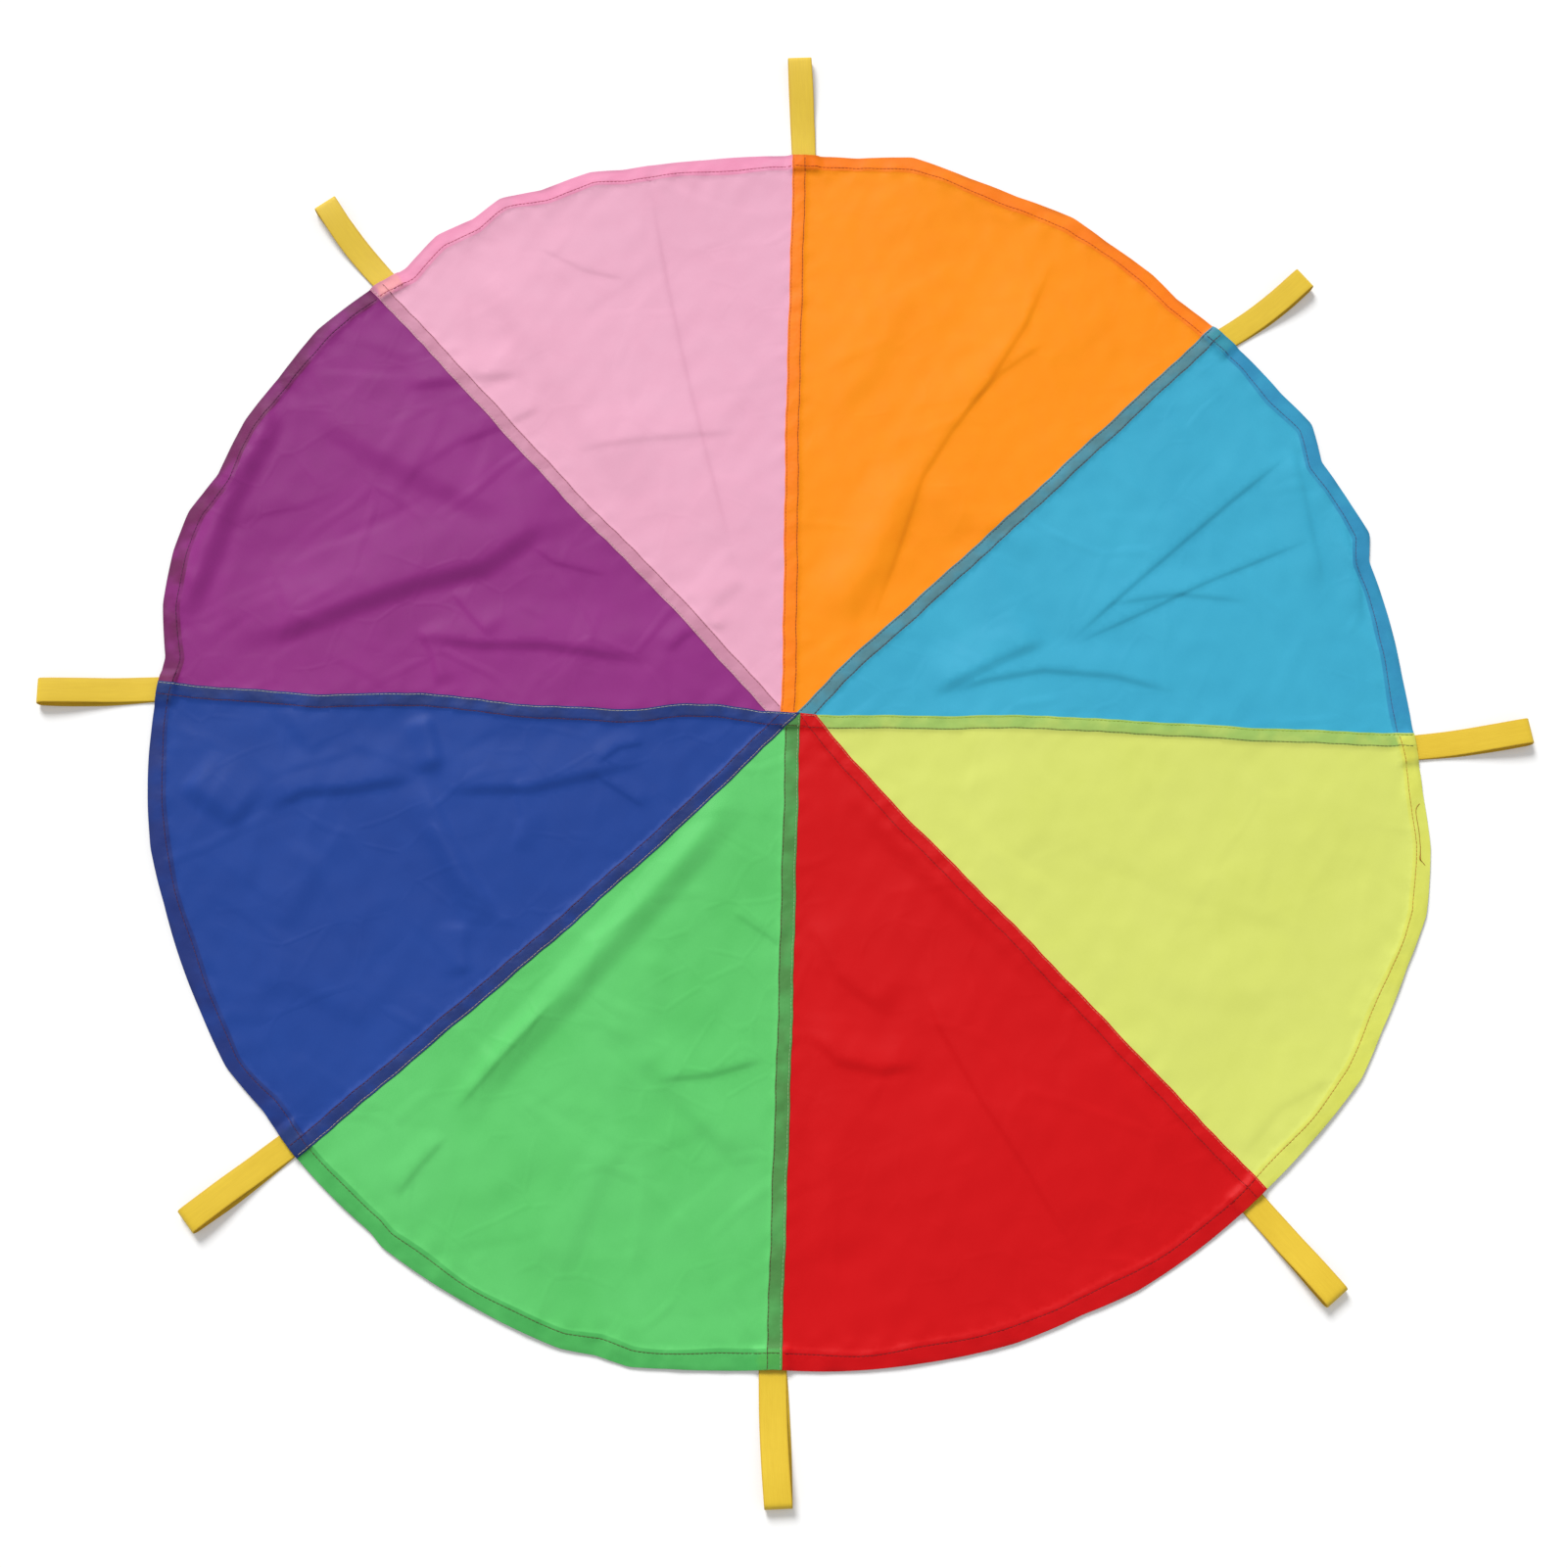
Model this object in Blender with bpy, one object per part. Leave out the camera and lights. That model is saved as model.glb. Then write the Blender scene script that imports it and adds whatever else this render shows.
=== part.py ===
"""Play parachute, lying open on the floor.

Eight nylon gores are felled together into a disc with a turned hem, and eight doubled
webbing loops are sewn into that hem.  Metres, +Z up.  The origin is the canopy's centre on
the floor, +X runs along the straight seam that joins the two half discs.
"""
import math

import bpy
import bmesh
from mathutils import Vector
from mathutils.geometry import delaunay_2d_cdt

# Cloth: one modelled layer, and the air left between two layers that lie on each other
CLOTH = 0.0006
GAP = 0.0003
HALF_GAP = GAP / 2

# Seams and hem
LAP = 0.006                # each gore reaches this far past the line of a felled seam
LAP_START = 0.030          # the laps begin this far from the centre
STEP = 0.002               # length of the slope where cloth climbs onto another layer
HEM = 0.014                # width of the turned hem
FLAT_MARGIN = 0.009        # the cloth lies flat this close to a seam

# Webbing loops
WEB_WIDTH = 0.020
WEB_THICK = 0.0012
WEB_STITCHED = 0.008       # the two ends are one stack as far as this from the hem
LOOP_RISE = 0.0095         # clear height of the teardrop, near its tip
LOOP_CLEAR = 0.0005        # from the hem's edge to the loop
LOOP_AXIS_Z = 0.003        # the loop turns over the hem about this height
LOOP_RUN_STEPS = 12        # facets of the upper layer, of the bend at the tip, and of
LOOP_TIP_STEPS = 8         # the layer on the floor
LOOP_FLOOR_STEPS = 5

# Fold line between the two half discs, along the lower half's folded edge
FOLD_Y = LAP
FOLD_AXIS_Z = 0.0035

# Spacing of the cloth's points: between the seams, on straight edges, along folds, round
# the rim in degrees (most and least), and the least distance from a fold's points
GRID = 0.042
EDGE_STEP = 0.030
CREASE_STEP = 0.034
RIM_STEP = 5.0
LEAST_TURN = 0.9
LEAST_STEP = 0.006

# The gores clockwise from the top: name, colour, and direction of the seam on the gore's
# anticlockwise side
GORES = [
    ("orange", (1.000, 0.290, 0.016), 91.6),
    ("sky_blue", (0.055, 0.402, 0.610), 45.6),
    ("yellow", (0.686, 0.745, 0.168), 0.0),
    ("red", (0.638, 0.013, 0.016), -44.6),
    ("green", (0.133, 0.597, 0.168), -89.4),
    ("royal_blue", (0.030, 0.078, 0.332), -134.8),
    ("purple", (0.287, 0.041, 0.238), -180.0),
    ("pink", (0.847, 0.434, 0.584), -224.4),
]

# The hem kinks where it is gathered: bearing in degrees, anticlockwise, and the rim's radius
RIM = [
    (0.3, 0.482), (6, 0.478), (12, 0.477), (18, 0.476), (20.6, 0.485), (24, 0.481),
    (29, 0.477), (32.8, 0.488), (37, 0.483), (45.6, 0.481), (51, 0.480), (54.5, 0.4855),
    (60, 0.489), (64.2, 0.495), (70, 0.4935), (75, 0.496), (80.8, 0.5035), (86, 0.4955),
    (91.6, 0.494), (101, 0.496), (109, 0.502), (112, 0.509), (117, 0.5085), (120.8, 0.5165),
    (124, 0.5105), (127.7, 0.514), (132, 0.504), (135.6, 0.508), (142, 0.5135), (148, 0.510),
    (153, 0.511), (158.8, 0.5055), (163, 0.5135), (167, 0.5125), (172, 0.507), (177, 0.495),
    (179.6, 0.497), (186, 0.500), (194.8, 0.503), (200, 0.501), (210, 0.5015), (215.5, 0.5035),
    (220.5, 0.498), (225.2, 0.500), (234.5, 0.502), (245, 0.504), (253, 0.5055), (256, 0.502),
    (258.8, 0.5035), (262, 0.499), (266, 0.495), (270.6, 0.4915), (276, 0.4935), (283, 0.4955),
    (291, 0.499), (297, 0.4985), (302, 0.502), (315.4, 0.502), (321, 0.5035), (328.5, 0.5075),
    (333, 0.504), (339, 0.503), (344, 0.5055), (350, 0.499), (355, 0.489), (357, 0.4865),
    (360.3, 0.482),
]

# The main folds of each gore as it lies: height, reach of the side that faces right along
# the fold and of the side that faces left, then the crest's points on the floor
FOLDS = {
    "orange": [(0.003, 0.014, 0.030, (0.040, 0.085), (0.084, 0.175), (0.118, 0.245),
                (0.178, 0.345), (0.205, 0.418))],
    "sky_blue": [(0.004, 0.012, 0.030, (0.208, 0.062), (0.275, 0.128), (0.340, 0.190),
                  (0.398, 0.242)),
                 (0.003, 0.012, 0.026, (0.212, 0.064), (0.325, 0.124), (0.412, 0.166)),
                 (0.003, 0.012, 0.026, (0.112, 0.020), (0.195, 0.044), (0.250, 0.041),
                  (0.305, 0.028)),
                 (0.003, 0.012, 0.020, (0.418, 0.118), (0.402, 0.205), (0.392, 0.246))],
    "yellow": [(0.002, 0.018, 0.034, (0.225, -0.140), (0.172, -0.112), (0.132, -0.072),
                (0.110, -0.040)),
               (0.002, 0.018, 0.040, (0.200, -0.092), (0.300, -0.130), (0.418, -0.166))],
    "red": [(0.003, 0.018, 0.024, (0.060, -0.084), (0.104, -0.126), (0.152, -0.168),
             (0.205, -0.216)),
            (0.003, 0.014, 0.034, (0.098, -0.192), (0.118, -0.240), (0.148, -0.290),
             (0.186, -0.345), (0.226, -0.412)),
            (0.0025, 0.014, 0.022, (0.030, -0.262), (0.076, -0.276), (0.112, -0.270))],
    "green": [(0.005, 0.018, 0.016, (-0.236, -0.336), (-0.205, -0.290), (-0.160, -0.236),
               (-0.110, -0.172), (-0.062, -0.112), (-0.040, -0.080)),
              (0.003, 0.012, 0.026, (-0.092, -0.290), (-0.050, -0.284), (-0.022, -0.274)),
              (0.0025, 0.018, 0.026, (-0.116, -0.262), (-0.088, -0.290), (-0.058, -0.322),
               (-0.025, -0.345)),
              (0.002, 0.018, 0.030, (-0.150, -0.442), (-0.132, -0.384), (-0.108, -0.326))],
    "royal_blue": [(0.004, 0.018, 0.026, (-0.472, -0.078), (-0.446, -0.094), (-0.418, -0.110)),
                   (0.004, 0.014, 0.030, (-0.404, -0.098), (-0.374, -0.080),
                    (-0.338, -0.076), (-0.288, -0.064)),
                   (0.004, 0.014, 0.028, (-0.274, -0.074), (-0.200, -0.070),
                    (-0.150, -0.056), (-0.112, -0.044)),
                   (0.003, 0.014, 0.020, (-0.214, -0.172), (-0.238, -0.140),
                    (-0.262, -0.100), (-0.286, -0.060))],
    "purple": [(0.005, 0.018, 0.060, (-0.446, 0.038), (-0.400, 0.050), (-0.350, 0.074),
                (-0.300, 0.095), (-0.250, 0.110), (-0.215, 0.138), (-0.178, 0.152)),
               (0.004, 0.014, 0.030, (-0.306, 0.052), (-0.250, 0.046), (-0.200, 0.048),
                (-0.150, 0.042), (-0.106, 0.037)),
               (0.003, 0.020, 0.050, (-0.412, 0.244), (-0.350, 0.202), (-0.300, 0.180),
                (-0.236, 0.148)),
               (0.0035, 0.022, 0.016, (-0.462, 0.070), (-0.458, 0.130), (-0.450, 0.190),
                (-0.436, 0.232))],
    "pink": [(0.003, 0.012, 0.030, (-0.050, 0.118), (-0.074, 0.200), (-0.100, 0.292),
              (-0.120, 0.372), (-0.140, 0.455)),
             (0.003, 0.020, 0.044, (-0.292, 0.382), (-0.250, 0.330), (-0.214, 0.280),
              (-0.180, 0.230), (-0.138, 0.168))],
}

# The loops clockwise from the top: place on the rim and heading in degrees, length past
# the hem, and how far the middle bows anticlockwise
LOOPS = [
    ("top", 91.3, 94.5, 0.094, 0.0),
    ("upper_right", 44.7, 41.9, 0.097, -0.0025),
    ("right", -0.6, 11.4, 0.090, -0.0013),
    ("lower_right", -45.7, -46.4, 0.094, 0.0),
    ("bottom", -89.4, -85.0, 0.094, 0.0),
    ("lower_left", -135.8, -139.3, 0.092, 0.0007),
    ("left", -180.2, -176.8, 0.094, 0.0012),
    ("upper_left", -225.7, -230.7, 0.089, 0.0020),
]
WEB_COLOUR = (0.760, 0.530, 0.038)


def clear_scene():
    for item in list(bpy.data.objects):
        bpy.data.objects.remove(item, do_unlink=True)


def new_collection(name):
    collection = bpy.data.collections.new(name)
    bpy.context.scene.collection.children.link(collection)
    return collection


def principled(name, colour, roughness):
    material = bpy.data.materials.new(name)
    material.use_nodes = True
    shader = material.node_tree.nodes["Principled BSDF"]
    shader.inputs["Base Color"].default_value = (*colour, 1.0)
    shader.inputs["Roughness"].default_value = roughness
    shader.inputs["Metallic"].default_value = 0.0
    return material


def ramp(value, start, end):
    """0 before start, 1 past end, straight between them."""
    return min(1.0, max(0.0, (value - start) / (end - start)))


def heading(degrees):
    return Vector((math.cos(math.radians(degrees)), math.sin(math.radians(degrees))))


def on_line(degrees, along, across):
    """A point along a line out of the centre, and this far anticlockwise of it."""
    u = heading(degrees)
    return Vector((u.x * along - u.y * across, u.y * along + u.x * across))


def along_across(degrees, point):
    u = heading(degrees)
    return point.x * u.x + point.y * u.y, u.x * point.y - u.y * point.x


def rim_radius(degrees):
    """The rim runs evenly from each kink to the next."""
    bearing = (degrees - RIM[0][0]) % 360 + RIM[0][0]
    for (start, at_start), (end, at_end) in zip(RIM, RIM[1:]):
        if bearing <= end:
            return at_start + (at_end - at_start) * ramp(bearing, start, end)
    return RIM[-1][1]


def rim_turns(start, end):
    """Bearings along the rim from start up to, but not at, end: its kinks and some between."""
    sweep = (end - start) % 360
    kinks = sorted((bearing - start) % 360 for bearing, _ in RIM[1:])
    stops = [0, *(k for k in kinks if LEAST_TURN < k < sweep - LEAST_TURN), sweep]
    turns = []
    for a, b in zip(stops, stops[1:]):
        count = max(1, math.ceil((b - a) / RIM_STEP))
        turns += [start + a + (b - a) * i / count for i in range(count)]
    return turns


def rim_meets(degrees, across):
    """Where a line beside a seam meets the rim: how far out it is."""
    out = rim_radius(degrees)
    for _ in range(4):
        point = on_line(degrees, out, across)
        bearing = math.degrees(math.atan2(point.y, point.x))
        out = math.sqrt(rim_radius(bearing) ** 2 - across ** 2)
    return out


def hem_reach(place):
    """How far out the hem comes under a loop's strap, taken square to the loop's place."""
    sides = rim_meets(place, WEB_WIDTH / 2) + rim_meets(place, -WEB_WIDTH / 2)
    return max(rim_radius(place), sides / 2)


def crossing(degrees, across, height):
    """How far out along a line beside a seam it is when it reaches y = height."""
    u = heading(degrees)
    return (height - u.x * across) / u.y


def stretch(start, end, step):
    """Points from start up to, but not at, end, no further apart than step."""
    count = max(1, math.ceil((end - start).length / step))
    return [start.lerp(end, i / count) for i in range(count)]


def beside_path(point, path):
    """How far along a path it is beside a point, from 0 to 1, and how far left the point is."""
    lengths = [(end - start).length for start, end in zip(path, path[1:])]
    nearest, found, passed = math.inf, None, 0.0
    for start, end, length in zip(path, path[1:], lengths):
        run = (end - start) / length
        along = min(length, max(0.0, (point - start).dot(run)))
        off = point - start - run * along
        if off.length < nearest:
            nearest = off.length
            side = math.copysign(1.0, run.x * off.y - run.y * off.x)
            found = (passed + along) / sum(lengths), side * nearest
        passed += length
    return found


class Gore:
    """One panel: its outline on the floor, its breaklines and its layers."""

    def __init__(self, index):
        self.name, self.colour, self.left = GORES[index]
        self.right = GORES[(index + 1) % len(GORES)][2]
        if self.right > self.left:
            self.right -= 360
        self.folds = FOLDS[self.name]
        # The straight seam: the upper gores stop at it, the lower two cover it
        self.cut_left = self.name == "purple"
        self.cut_right = self.name == "sky_blue"
        self.cover_left = self.name == "yellow"
        self.cover_right = self.name == "royal_blue"
        self.upper = self.name in ("purple", "pink", "orange", "sky_blue")
        self.laps_left = not (self.cut_left or self.cover_left)
        self.laps_right = not (self.cut_right or self.cover_right)

    def corner(self, degrees, across):
        """Inner end of an edge that lies this far across a seam's line."""
        if self.upper:
            return on_line(degrees, crossing(degrees, across, FOLD_Y + GAP), across)
        if self.cover_left or self.cover_right:
            beside = HALF_GAP if self.cover_left else -HALF_GAP
            u = heading(degrees)
            return on_line(degrees, (beside + u.y * across) / u.x, across)
        middle = (self.left + self.right) / 2
        half = math.radians((self.left - self.right) / 2)
        return heading(middle) * (HALF_GAP / math.sin(half))

    def right_edge(self):
        """Outwards along the clockwise seam, with the tongue that goes under the next."""
        a = self.right
        if self.cut_right:
            return [on_line(a, rim_meets(a, FOLD_Y + GAP), FOLD_Y + GAP)]
        if self.cover_right:
            return [on_line(a, HALF_GAP, -LAP), on_line(a, rim_meets(a, -LAP), -LAP)]
        out = rim_meets(a, HALF_GAP)
        tongue = rim_meets(a, -LAP) - HEM - 2 * STEP
        return [on_line(a, LAP_START + 2 * STEP, HALF_GAP),
                on_line(a, LAP_START + 4 * STEP, -LAP),
                on_line(a, tongue - STEP, -LAP),
                on_line(a, tongue, HALF_GAP),
                on_line(a, out, HALF_GAP)]

    def left_edge(self):
        """Inwards along the anticlockwise seam, with the lap that lies on the last gore."""
        a = self.left
        if self.cut_left:
            return [on_line(a, rim_meets(a, -FOLD_Y - GAP), -FOLD_Y - GAP)]
        if self.cover_left:
            return [on_line(a, rim_meets(a, LAP), LAP), on_line(a, HALF_GAP, LAP)]
        return [on_line(a, rim_meets(a, LAP), LAP),
                on_line(a, LAP_START + 3 * STEP, LAP),
                on_line(a, LAP_START, -HALF_GAP)]

    def rim(self, start, end):
        """Points of the rim between two points on it."""
        a = math.degrees(math.atan2(start.y, start.x))
        b = math.degrees(math.atan2(end.y, end.x))
        return [heading(turn) * rim_radius(turn) for turn in rim_turns(a, b)[1:]]

    def outline(self):
        right, left = self.right_edge(), self.left_edge()
        inner = []
        if self.laps_left:
            inner.append(self.corner(self.left, -HALF_GAP))
        if self.laps_right:
            inner.append(self.corner(self.right, HALF_GAP))
        if not self.upper:
            inner = inner[:1]
        legs = inner + right
        points = []
        for start, end in zip(legs, legs[1:]):
            points += stretch(start, end, EDGE_STEP)
        points.append(right[-1])
        points += self.rim(right[-1], left[0])
        legs = left + inner[:1]
        for start, end in zip(legs, legs[1:]):
            points += stretch(start, end, EDGE_STEP)
        return points

    def bands(self):
        """Laps and covers: the seam's direction, and which side of it the gore lies on."""
        bands = []
        if self.laps_left or self.cover_left:
            bands.append((self.left, -1))
        if self.cover_right:
            bands.append((self.right, 1))
        return bands

    def breaklines(self):
        """Lines that the mesh follows: both edges of the hem's step and of each band's."""
        lines = []
        turns = rim_turns(self.right, self.left) + [self.left]
        for inset in (HEM, HEM + STEP):
            lines.append([heading(turn) * (rim_radius(turn) - inset) for turn in turns])
        for degrees, side in self.bands():
            for across in (LAP + GAP * 2, LAP + GAP * 2 + STEP):
                start = on_line(degrees, LAP_START - STEP, side * across)
                end = on_line(degrees, rim_meets(degrees, side * across), side * across)
                lines.append(stretch(start, end, EDGE_STEP) + [end])
            if self.laps_left and degrees == self.left:
                for inset in (HEM + 2 * STEP, HEM + 3 * STEP):
                    out = rim_meets(degrees, 0) - inset
                    lines.append([on_line(degrees, out, -LAP - STEP),
                                  on_line(degrees, out, LAP)])
        if self.laps_right:
            start = on_line(self.right, LAP_START, FLAT_MARGIN)
            end = on_line(self.right, rim_meets(self.right, FLAT_MARGIN), FLAT_MARGIN)
            lines.append(stretch(start, end, EDGE_STEP) + [end])
        return lines

    def crease_points(self):
        """Crest, flanks and feet of every fold, as rows of points along it."""
        points = []
        for _, front, back, *path in self.folds:
            path = [Vector(point) for point in path]
            rows = []
            for start, end in zip(path, path[1:]):
                side = (end - start).orthogonal().normalized()
                rows += [(point, side) for point in stretch(start, end, CREASE_STEP)]
            rows.append((path[-1], side))
            for point, side in rows:
                points += [point + side * across for across in (-front, 0, back / 2, back)]
        return points

    def fold_height(self, point):
        """Height of the cloth over the floor: rounded ridges that run out at their ends."""
        total = 0.0
        for height, front, back, *path in self.folds:
            share, across = beside_path(point, [Vector(corner) for corner in path])
            away = -across / front if across < 0 else across / back
            if away < 1:
                ends = min(1.0, 0.2 + 4 * min(share, 1 - share))
                total = max(total, height * ends * (1 + math.cos(math.pi * away)) / 2)
        beside = min(along_across(self.right, point)[1], -along_across(self.left, point)[1])
        return total * ramp(beside, FLAT_MARGIN, 2 * FLAT_MARGIN)

    def levels(self, point):
        """Underside and top of the gore's cloth at a point of the floor."""
        bearing = math.degrees(math.atan2(point.y, point.x))
        inset = rim_radius(bearing) - point.length
        hem = 1 - ramp(inset, HEM, HEM + STEP)
        under = self.fold_height(point)
        thick = CLOTH * (1 + hem)
        if self.laps_left:
            along, across = along_across(self.left, point)
            near = 1 - ramp(-across, LAP + GAP * 2, LAP + GAP * 2 + STEP)
            raised = CLOTH + GAP + CLOTH * (1 - ramp(inset, HEM + 2 * STEP, HEM + 3 * STEP))
            under += raised * near * ramp(along, LAP_START - 6 * STEP, LAP_START - STEP)
        if self.cover_left or self.cover_right:
            cover = 1 - ramp(-point.y, LAP + GAP * 2, LAP + GAP * 2 + STEP)
            thick += (CLOTH + GAP) * cover
        return under, under + thick

    def build(self, collection):
        outline = self.outline()
        points = list(outline)
        edges = []
        for line in self.breaklines():
            first = len(points)
            points += line
            edges += [(first + i, first + i + 1) for i in range(len(line) - 1)]
        fixed = list(points)
        for point in self.crease_points():
            if self.keeps_clear(point, fixed, LEAST_STEP):
                points.append(point)
        fixed = list(points)
        reach = math.ceil(max(radius for _, radius in RIM) / GRID) + 4
        for i in range(-reach, reach):
            for j in range(-reach, reach):
                point = Vector(((i + 0.5 * (j % 2)) * GRID, j * GRID * math.sqrt(3) / 2))
                if self.keeps_clear(point, fixed, GRID / 2.2):
                    points.append(point)
        face = list(range(len(outline)))
        flat, _, faces, *_ = delaunay_2d_cdt(points, edges, [face], 1, 1e-7)
        mesh = bpy.data.meshes.new(f"{self.name}_gore")
        bm = bmesh.new()
        lower = [bm.verts.new((p.x, p.y, 0.0)) for p in flat]
        for triangle in faces:
            bm.faces.new([lower[i] for i in triangle])
        lifted = bmesh.ops.extrude_face_region(bm, geom=bm.faces)["geom"]
        upper = {item for item in lifted if isinstance(item, bmesh.types.BMVert)}
        for vert in bm.verts:
            vert.co.z = self.levels(vert.co.xy)[1 if vert in upper else 0]
        bmesh.ops.recalc_face_normals(bm, faces=bm.faces)
        bm.to_mesh(mesh)
        bm.free()
        gore = bpy.data.objects.new(f"{self.name}_gore", mesh)
        mesh.materials.append(principled(f"{self.name}_nylon", self.colour, 0.55))
        collection.objects.link(gore)
        return gore

    def keeps_clear(self, point, others, distance):
        """Inside the gore, off its edges, and not crowding a point that is already there."""
        along_right, across_right = along_across(self.right, point)
        along_left, across_left = along_across(self.left, point)
        if min(across_right, -across_left) < 1.5 * FLAT_MARGIN:
            return False
        if min(along_right, along_left) < LAP_START:
            return False
        bearing = math.degrees(math.atan2(point.y, point.x))
        if point.length > rim_radius(bearing) - HEM - LEAST_STEP - STEP:
            return False
        return all((point - other).length > distance for other in others)


def loop_outline(length, inset):
    """Side view of the doubled strap: flat below, rising to a teardrop at its tip."""
    start = WEB_STITCHED if inset else 0.0
    tip = length - inset
    bulb = (LOOP_RISE + 2 * WEB_THICK) / 2 - inset
    points = []
    for i in range(LOOP_RUN_STEPS + 1):
        share = i / LOOP_RUN_STEPS
        along = start + (tip - bulb - start) * share
        rise = LOOP_RISE * (1 - math.cos(math.pi * share)) / 2
        points.append(Vector((along, 2 * WEB_THICK + rise - inset)))
    if inset:
        points[0].y = WEB_THICK + GAP
    for i in range(1, LOOP_TIP_STEPS):
        turn = math.pi / 2 - math.pi * i / LOOP_TIP_STEPS
        points.append(Vector((tip - bulb + bulb * math.cos(turn),
                              inset + bulb + bulb * math.sin(turn))))
    end, back = Vector((tip - bulb, inset)), Vector((start, inset))
    points += [end.lerp(back, i / LOOP_FLOOR_STEPS) for i in range(LOOP_FLOOR_STEPS + 1)]
    return points


def webbing_loop(name, place, towards, length, bow, collection, material):
    """A length of webbing doubled into a loop, lying outwards from the hem."""
    curve = bpy.data.curves.new(f"{name}_profile", "CURVE")
    curve.dimensions = "2D"
    curve.fill_mode = "BOTH"
    curve.extrude = WEB_WIDTH / 2
    for inset in (0.0, WEB_THICK):
        points = loop_outline(length, inset)
        spline = curve.splines.new("POLY")
        spline.points.add(len(points) - 1)
        for target, point in zip(spline.points, points):
            target.co = (point.x, point.y, 0.0, 1.0)
        spline.use_cyclic_u = True
    profile = bpy.data.objects.new(f"{name}_profile", curve)
    collection.objects.link(profile)
    bpy.context.view_layer.update()
    graph = bpy.context.evaluated_depsgraph_get()
    mesh = bpy.data.meshes.new_from_object(profile.evaluated_get(graph))
    bpy.data.objects.remove(profile, do_unlink=True)
    bm = bmesh.new()
    bm.from_mesh(mesh)
    bmesh.ops.remove_doubles(bm, verts=bm.verts, dist=1e-6)
    # Profile x runs outwards, y is height and z is across; the heading leans it sideways,
    # and its start follows the hem
    lean = math.tan(math.radians(towards - place))
    slope = (rim_meets(place, WEB_WIDTH / 2) - rim_meets(place, -WEB_WIDTH / 2)) / WEB_WIDTH
    for vert in bm.verts:
        along, height, across = vert.co
        share = along / length
        side = lean * along - across + bow * math.sin(math.pi * share)
        vert.co = (along - slope * across * (1 - share), side, height - LOOP_AXIS_Z)
    bm.to_mesh(mesh)
    bm.free()
    mesh.name = f"{name}_loop"
    mesh.materials.clear()
    mesh.materials.append(material)
    loop = bpy.data.objects.new(f"{name}_loop", mesh)
    hinge = heading(place) * (hem_reach(place) + LOOP_CLEAR)
    loop.location = (hinge.x, hinge.y, LOOP_AXIS_Z)
    loop.rotation_euler = (0.0, 0.0, math.radians(place))
    collection.objects.link(loop)
    return loop


def hang_on(carrier, piece):
    """Parent a piece to the fold's empty and leave it where it is."""
    piece.parent = carrier
    piece.location -= carrier.location


clear_scene()
parachute = new_collection("play_parachute")
fold_axis = bpy.data.objects.new("half_fold_axis", None)
fold_axis.location = (0.0, FOLD_Y, FOLD_AXIS_Z)
parachute.objects.link(fold_axis)

for number in range(len(GORES)):
    gore = Gore(number)
    panel = gore.build(parachute)
    if gore.upper:
        hang_on(fold_axis, panel)

webbing = principled("yellow_webbing", WEB_COLOUR, 0.7)
for loop_name, loop_place, *loop_shape in LOOPS:
    strap = webbing_loop(loop_name, loop_place, *loop_shape, parachute, webbing)
    if loop_name in ("top", "upper_right", "upper_left"):
        hang_on(fold_axis, strap)
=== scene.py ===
import math

import bpy
import numpy as np
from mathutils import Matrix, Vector
from mathutils.geometry import delaunay_2d_cdt


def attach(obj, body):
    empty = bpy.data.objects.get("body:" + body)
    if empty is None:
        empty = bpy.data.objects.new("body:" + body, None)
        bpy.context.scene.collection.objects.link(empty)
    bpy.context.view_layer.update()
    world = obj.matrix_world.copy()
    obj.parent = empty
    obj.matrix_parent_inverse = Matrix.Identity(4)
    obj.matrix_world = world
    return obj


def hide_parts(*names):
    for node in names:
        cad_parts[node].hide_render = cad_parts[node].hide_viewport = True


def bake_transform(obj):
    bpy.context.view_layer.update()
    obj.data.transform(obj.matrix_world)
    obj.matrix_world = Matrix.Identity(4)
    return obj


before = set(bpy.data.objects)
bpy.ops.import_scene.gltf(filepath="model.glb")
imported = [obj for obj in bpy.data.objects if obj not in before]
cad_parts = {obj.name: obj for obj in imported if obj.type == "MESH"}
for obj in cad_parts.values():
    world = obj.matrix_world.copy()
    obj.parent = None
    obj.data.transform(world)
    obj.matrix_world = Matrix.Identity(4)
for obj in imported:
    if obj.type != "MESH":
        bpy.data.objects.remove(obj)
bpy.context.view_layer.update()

# The view
# The parachute lies on a white floor and is seen from nearly overhead, leaning 16 degrees back
# from straight down, with the straight seam level and the pink and orange gores at the top.
CAMERA_TILT = math.radians(15.916)
CAMERA_TURN = math.radians(2.4)
camera = bpy.data.objects.new("camera", bpy.data.cameras.new("camera"))
camera.location = (0.01336, -0.49453, 1.5387)
camera.rotation_euler = (CAMERA_TILT, 0.0, CAMERA_TURN)
camera.data.lens = 47.53
camera.data.sensor_width = 36.0
bpy.context.scene.collection.objects.link(camera)
bpy.context.scene.camera = camera

# The canopy's cut
# Eight wedges of thin plain-woven nylon, felled together edge over edge. Six seams run out from
# the middle; the seventh and eighth are one straight line that joins two finished half discs.
# The cloth lies on the floor as it was laid down, with the folds and creases of its bag.
MM = 0.001
CLOTH = 0.25 * MM          # one layer
AIR = 0.06 * MM            # between two layers
SLOPE = 1.6 * MM           # of a layer where it comes down beside an edge beneath it
HEM = 14 * MM              # turned hem, two layers
BAND = 11 * MM             # a felled seam, from its folded edge to just past its inner row
STEP = 0.9 * MM            # a layer's edge shows through the one above it as a slope this long

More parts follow.
